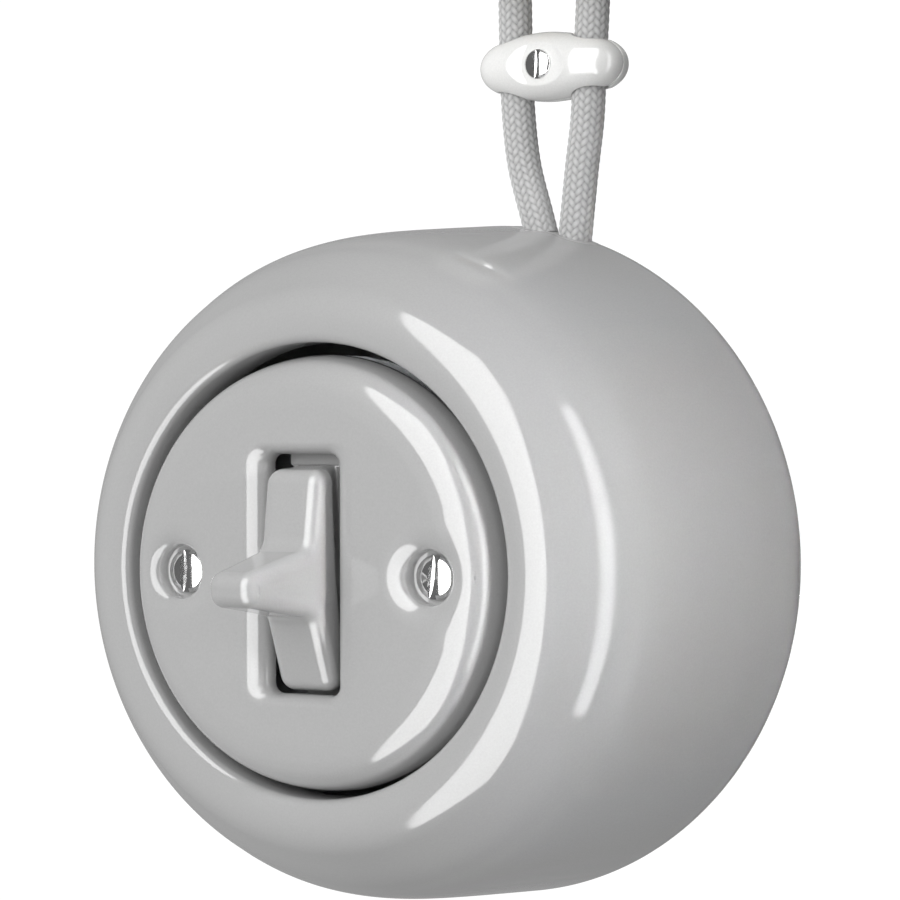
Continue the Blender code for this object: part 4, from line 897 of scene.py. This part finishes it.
def clip_grid(size, sign):
    """One half of the clip: sections along its length, domed outside and flat at the parting.

    At a share s of the half length the half height is 4.75 mm plus a lobe of 1 mm that fades as
    exp(-((s + 0.05)/0.5)^2), rounded off as (1 - |s|^4.2)^(1/2). The dome is a superellipse, the
    parting face draws back by sqrt(r^2 - (x - c)^2) where a cord runs in its groove, and the front
    half has a dish round its screw that fades in as 1/(1 + exp((far - 4.7 mm)/0.55 mm)).
    """
    share = -np.cos(sweep(0, 180, 181))
    x = 13.3 * MM * share
    lobe = (4.75 + 1.0 * np.exp(-((share + 0.05) / 0.5) ** 2)) * MM
    height = lobe * np.sqrt(np.maximum(0, 1 - np.abs(share) ** 4.2))
    crest, groove = 6.1 * MM, 3.0 * MM
    depth = crest * np.maximum(0, 1 - np.abs(share) ** 3.2) ** 0.42
    pull = np.sqrt(np.maximum(0, groove ** 2 - (np.abs(x) - CLIP_SPREAD) ** 2))
    pull = np.minimum(pull, depth * 0.96)[:, None]
    a = sweep(0, 180, 97)
    out = pull + (depth[:, None] - pull) * np.sin(a) ** 0.8
    share_out = np.clip(out / np.maximum(depth, 1e-9)[:, None], 0, 1)
    edge = 1 - 0.06 * np.exp(-(out - pull) / (0.3 * MM))
    up = np.sign(np.cos(a)) * height[:, None] * np.sqrt(np.maximum(0, 1 - share_out ** 2.5)) * edge
    if sign < 0:
        far = np.hypot(x[:, None], up)
        dish = crest - 1.15 * MM / (1 + np.exp((far - 4.7 * MM) / (0.55 * MM)))
        out = np.where(np.abs(np.cos(a)) < 0.9, np.minimum(out, np.maximum(dish, pull)), out)
    back = np.linspace(0, 1, 12)[1:]
    up = np.concatenate((up, up[:, -1:] + (up[:, :1] - up[:, -1:]) * back), 1)
    out = np.concatenate((out, pull + 0 * back), 1)
    parting = 0.15 * MM
    return np.stack(np.broadcast_arrays(x[:, None], sign * (out + parting), up - size.clip_drop),
                    -1)


class SWITCH_OT_clip(PieceStep, bpy.types.Operator):
    """White porcelain clip of two halves on the cords, and its screw"""

    bl_idname = "switch.clip"
    bl_label = "Cord clip"

    def build(self, size):
        for sign, label in ((-1, "front"), (1, "rear")):
            put_piece("porcelain_clip_" + label, [[clip_grid(size, sign)]], ["clip_" + label],
                      "glazed_porcelain_white")
        shells = screw_shells(2.45 * MM, bottom=5.15 * MM, edge=5.3 * MM, dome=0.85 * MM,
                              slot_width=1.0 * MM, slot_depth=0.75 * MM, shank=1.2 * MM,
                              length_below=9.5 * MM)
        middle = np.array((0.0, 0.0, -size.clip_drop))
        placed = [[leaned(grid, 0.05, 0)[..., [0, 2, 1]] * (1, -1, 1) + middle for grid in shell]
                  for shell in shells]
        put_piece("clip_screw_polished", placed, ["clip_screw"], "bright_steel", sharp=35)


class SWITCH_OT_rose(PieceStep, bpy.types.Operator):
    """White ceiling rose and the two brass ferrules that hold the cords in it"""

    bl_idname = "switch.rose"
    bl_label = "Ceiling rose"

    def build(self, size):
        radius, height = size.rose_radius, size.rose_height
        wall, fillet = 3 * MM, 5 * MM
        inner, floor = radius - wall, wall - height
        inside = soften(np.array(((0, floor), (inner - wall, floor), (inner, floor + wall),
                                  (inner, -0.3 * MM))), 0.1 * MM, 0.5 * MM)
        outer = np.concatenate((((inner, 0.0), (radius - 0.4 * MM, 0.0), (radius, -0.4 * MM)),
                                arc((radius - fillet, fillet - height), fillet, 90, 180, 30),
                                ((0, -height),)))
        outer = soften(outer, 0.05 * MM, 0.15 * MM)
        line = np.concatenate((spread(inside, 30), spread(outer, 60)))
        put_piece("porcelain_rose", [[revolve(line, 160)]], ["ceiling_rose"],
                  "glazed_porcelain_white")
        section = np.array(((2.0, 4.6), (3.3, 4.6), (3.3, -0.4), (3.9, -0.4), (4.0, -0.5),
                            (4.0, -1.05), (3.8, -1.2), (2.5, -1.2), (2.1, -0.8), (2.0, 4.6))) * MM
        for side, label in ((-1, "left"), (1, "right")):
            skin = ringed(section + (0, -height), 64, "out") + (side * ROSE_SPREAD, 0, 0)
            put_piece("brass_ferrule_" + label, [[skin]], ["cord_ferrule_" + label], "brass",
                      sharp=40)


class SWITCH_OT_bush(PieceStep, bpy.types.Operator):
    """Oval rubber bush that lies flush in the housing's opening, round the feet of both cords"""

    bl_idname = "switch.bush"
    bl_label = "Bush"

    def build(self, size):
        a = sweep(0, 360, 129)
        width, height, fillet = 8.4 * MM, 4.1 * MM, size.back_fillet
        outline = np.stack((np.sign(np.cos(a)) * (width - height) + height * np.cos(a),
                            height * np.sin(a)), -1)
        top = side_radius(size, -SWITCH_PLACE[1])
        start = size.housing_depth - fillet
        rows = []
        for share, lift in ((0, -9.5), (0.6, -9.5), (0.97, -9.4), (1.0, -9.0), (1.0, -0.3),
                            (0.985, 0.0), (0.95, 0.04), (0.85, 0.05), (0.6, 0.05), (0.3, 0.05),
                            (0, 0.05)):
            across, depth = (share * outline).T
            place = -SWITCH_PLACE[1] - depth
            past = np.maximum(place - start, 0)
            level = (side_radius(size, np.minimum(place, start)) - fillet
                     + np.sqrt(fillet ** 2 - past ** 2))
            curved = np.sqrt((level if lift > -5 else top) ** 2 - across ** 2)
            rows.append(np.stack((across, depth, curved + lift * MM), -1))
        frame_axes = np.stack((bush_place(size, 0.0, 1.0) - bush_place(size, 0.0), (0.0, -1.0, 0.0),
                               bush_place(size, 1.0) - bush_place(size, 0.0)))
        put_piece("rubber_bush", [[bush_place(size, 0.0) + np.stack(rows) @ frame_axes]],
                  ["cord_bush"], "grey_rubber")


class SWITCH_OT_inner_metal(bpy.types.Operator):
    """Finishes for the mechanism's own parts, which keep their solids"""

    bl_idname = "switch.inner_metal"
    bl_label = "Mechanism"

    def execute(self, context):
        look = finishes()
        ends, sides = ("_upper", "_lower"), ("_left", "_right")
        parts = (
            ("bright_steel", "ring_screw", ends), ("bright_steel", "base_screw", sides),
            ("bright_steel", "terminal_screw", (*ends, "_common")),
            ("bright_steel", "pivot_pin", ("",)), ("bright_steel", "plunger_spring", ("",)),
            ("bright_steel", "contact_pin", ("",)), ("zinc_steel", "mounting_ring", ("",)),
            ("zinc_steel", "cradle_ear", sides), ("zinc_steel", "clip_nut", ("",)),
            ("zinc_steel", "ceiling_plate", ("",)), ("brass", "plunger", ("",)),
            ("brass", "cover_pillar", sides), ("brass", "terminal", (*ends, "_common")),
            ("brass", "fixed_contact", ends), ("brass", "common_contact", ("",)),
            ("brass", "contact_seesaw", ("",)), ("base_compound", "insert_base", ("",)),
        )
        for finish, name, endings in parts:
            for ending in endings:
                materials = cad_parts[name + ending].data.materials
                materials.clear()
                materials.append(look[finish])
        return FINISHED


# Studio

def softbox(name, turn, rise, width, height, distance, radiance, glossy=True, diffuse=False):
    """A flat lamp towards the cover's middle, from a bearing to the right of straight ahead.

    Bearing, rise, width and height are in degrees, as seen from the cover's middle.
    """
    a, e = math.radians(turn), math.radians(rise)
    toward = Vector((math.sin(a) * math.cos(e), -math.cos(a) * math.cos(e), math.sin(e)))
    lamp = bpy.data.lights.new(name, "AREA")
    lamp.shape = "RECTANGLE"
    lamp.size = 2 * distance * math.tan(math.radians(width / 2))
    lamp.size_y = 2 * distance * math.tan(math.radians(height / 2))
    lamp.energy = radiance * math.pi * lamp.size * lamp.size_y
    box = add_object(name, lamp)
    box.matrix_world = (Matrix.Translation(Vector(SWITCH_PLACE) + toward * distance)
                        @ toward.to_track_quat("Z", "Y").to_matrix().to_4x4())
    box.visible_camera, box.visible_glossy, box.visible_diffuse = False, glossy, diffuse
    return box


def stage_piece(name, grid, finish, unseen_by):
    """An open grid of the stage, left out of the given kinds of ray."""
    mesh = bpy.data.meshes.new(name)
    mesh.from_pydata(grid.reshape(-1, 3).tolist(), [], grid_faces(*grid.shape[:2], 0).tolist())
    mesh.materials.append(finish)
    piece = add_object(name, mesh)
    for ray in unseen_by:
        setattr(piece, "visible_" + ray, False)


def curved_softbox(name, reach, distance, radiance):
    """A panel bowed round the switch, seen only in the glaze and the metal.

    At a rise of e degrees it runs from a bearing of -16 - 0.0015 e^2 to one of 31 + 0.0075 e^2
    degrees to the right of straight ahead, and to 49.5 degrees at most.
    """
    rise = np.linspace(-reach, reach, 61)[:, None]
    share = np.linspace(0, 1, 33)
    left, right = -16 - 0.0015 * rise ** 2, np.minimum(31 + 0.0075 * rise ** 2, 49.5)
    a, e = np.radians(left * (1 - share) + right * share), np.radians(rise)
    panel = SWITCH_PLACE + distance * np.stack((np.sin(a) * np.cos(e), -np.cos(a) * np.cos(e),
                                                np.sin(e) + 0 * a), -1)
    glow = bpy.data.materials.new(name)
    glow.use_nodes = True
    glow.node_tree.nodes.clear()
    light = add_node(glow, "ShaderNodeEmission", Strength=radiance)
    out = add_node(glow, "ShaderNodeOutputMaterial")
    glow.node_tree.links.new(light.outputs[0], out.inputs["Surface"])
    stage_piece(name, panel, glow, ("camera", "diffuse", "shadow"))


class SWITCH_OT_studio(bpy.types.Operator):
    """Camera at the photograph's angle, softboxes, room light and a pale floor far below"""

    bl_idname = "switch.studio"
    bl_label = "Studio"

    def execute(self, context):
        scene, studio = context.scene, context.scene.switch_studio
        self.place_camera(scene, studio)
        self.light_room(scene, studio)
        curved_softbox("front_softbox", reach=67, distance=1.2, radiance=studio.boxes)
        softbox("right_strip", turn=83.5, rise=2, width=13, height=88, distance=1.2,
                radiance=studio.boxes * 0.85)
        softbox("far_right_strip", turn=112.5, rise=2, width=19, height=84, distance=1.2,
                radiance=studio.boxes * 0.08)
        softbox("key_light", turn=-6, rise=14, width=50, height=50, distance=1.4, radiance=1.9,
                glossy=False, diffuse=True)
        beam = softbox("side_beam", turn=88, rise=9, width=11, height=9.5, distance=0.6,
                       radiance=0.98, glossy=False, diffuse=True)
        beam.data.spread = math.radians(14)
        a = sweep(0, 360, 121)
        radius = np.array((0, 0.7, 1, 1, 0))[:, None] * studio.floor_radius
        level = -studio.floor_drop - np.array((0, 0, 0, 0.004, 0.004))[:, None]
        disc = np.stack((radius * np.cos(a), radius * np.sin(a), level + 0 * a), -1)
        pale = (0.86, 0.86, 0.86)
        finish, shader = new_finish("floor_paint", pale, 0.6)
        tinted(finish, shader, noise(finish, 6.0, 4.0), pale, 0.98, 1.02)
        stage_piece("pale_floor", disc, finish, ("diffuse", "glossy", "shadow"))
        return FINISHED

    def place_camera(self, scene, studio):
        """Looks along the fitted direction: turn 32.53, tip 0.455 and roll 0.18 degrees."""
        turn, tip, roll = (math.radians(angle) for angle in (32.53, 0.455, -0.18))
        back = Vector((math.sin(turn) * math.cos(tip), -math.cos(turn) * math.cos(tip),
                       math.sin(tip)))
        right = Vector((math.cos(turn), math.sin(turn), 0))
        up = back.cross(right)
        c, s = math.cos(roll), math.sin(roll)
        right, up = c * right + s * up, c * up - s * right
        camera = bpy.data.cameras.new("camera")
        camera.sensor_width = 36.0
        camera.lens = studio.lens
        camera.clip_start, camera.clip_end = 0.02, 20.0
        place = add_object("camera", camera)
        facing = Matrix((right, up, back)).transposed().to_4x4()
        spot = Vector((299.06 * MM, -430.15 * MM, 22.85 * MM)) + Vector(SWITCH_PLACE)
        place.matrix_world = Matrix.Translation(spot) @ facing
        scene.camera = place

    def light_room(self, scene, studio):
        """White for the background, and a softer room for what lights and mirrors in the glaze.

        The room's light grows from below to above and fades towards the right and behind.
        """
        scene.view_settings.view_transform = "Standard"
        scene.view_settings.look = "None"
        world = bpy.data.worlds.new("room")
        world.use_nodes = True
        scene.world = world
        link = world.node_tree.links.new
        world.node_tree.nodes.clear()
        out = add_node(world, "ShaderNodeOutputWorld")
        ray = add_node(world, "ShaderNodeLightPath")
        white, room, mirrored = (
            add_node(world, "ShaderNodeBackground", Color=(1, 1, 1, 1), Strength=strength)
            for strength in (1.05, 1.0, 1.0))
        first, second = (add_node(world, "ShaderNodeMixShader") for _ in range(2))
        place = add_node(world, "ShaderNodeTexCoord").outputs["Generated"]
        split = add_node(world, "ShaderNodeSeparateXYZ")
        aside = add_node(world, "ShaderNodeVectorMath", operation="DOT_PRODUCT")
        aside.inputs[1].default_value = (0.87, 0.5, 0.0)
        both, scaled = (add_node(world, "ShaderNodeMath", operation="MULTIPLY") for _ in range(2))
        scaled.inputs[1].default_value = studio.sky
        for source, target in (
                (place, split.inputs[0]), (place, aside.inputs[0]),
                (between(world, split.outputs["Z"], 0.78, 1.19, -1, 1), both.inputs[0]),
                (between(world, aside.outputs["Value"], 1.0, 0.03, -0.1, 0.9), both.inputs[1]),
                (both.outputs[0], scaled.inputs[0]), (scaled.outputs[0], room.inputs["Strength"]),
                (between(world, split.outputs["Y"], 0.16, 0.34, -0.1, 0.7),
                 mirrored.inputs["Strength"]),
                (ray.outputs["Is Glossy Ray"], first.inputs["Fac"]),
                (room.outputs[0], first.inputs[1]), (mirrored.outputs[0], first.inputs[2]),
                (ray.outputs["Is Camera Ray"], second.inputs["Fac"]),
                (first.outputs[0], second.inputs[1]), (white.outputs[0], second.inputs[2]),
                (second.outputs[0], out.inputs["Surface"])):
            link(source, target)


class SWITCH_PT_panel(bpy.types.Panel):
    """Lists the switch's pieces, sizes and finishes"""

    bl_idname = "SWITCH_PT_panel"
    bl_label = "Porcelain toggle switch"
    bl_space_type = "VIEW_3D"
    bl_region_type = "UI"
    bl_category = "Switch"

    def draw(self, context):
        for step in STEPS:
            self.layout.operator(step.bl_idname)
        for group in ("switch_sizes", "switch_finishes", "switch_studio"):
            values = getattr(context.scene, group)
            box = self.layout.box()
            for name in values.__annotations__:
                box.prop(values, name)


STEPS = (SWITCH_OT_studio, SWITCH_OT_cords, SWITCH_OT_housing, SWITCH_OT_cover,
         SWITCH_OT_cover_screws, SWITCH_OT_rocker, SWITCH_OT_clip, SWITCH_OT_rose, SWITCH_OT_bush,
         SWITCH_OT_inner_metal)
GROUPS = {"switch_sizes": SwitchSizes, "switch_finishes": SwitchFinishes,
          "switch_studio": SwitchStudio}


def register():
    for made in (*GROUPS.values(), *STEPS, SWITCH_PT_panel):
        bpy.utils.register_class(made)
    for name, group in GROUPS.items():
        setattr(bpy.types.Scene, name, PointerProperty(type=group))


def unregister():
    for name in GROUPS:
        delattr(bpy.types.Scene, name)
    for made in (SWITCH_PT_panel, *reversed(STEPS), *reversed(GROUPS.values())):
        bpy.utils.unregister_class(made)


def main():
    """Makes the studio and every piece."""
    register()
    bpy.ops.switch.studio()
    bpy.ops.switch.cords()
    bpy.ops.switch.housing()
    bpy.ops.switch.cover()
    bpy.ops.switch.cover_screws()
    bpy.ops.switch.rocker()
    bpy.ops.switch.clip()
    bpy.ops.switch.rose()
    bpy.ops.switch.bush()
    bpy.ops.switch.inner_metal()
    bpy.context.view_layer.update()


if __name__ == "__main__":
    main()
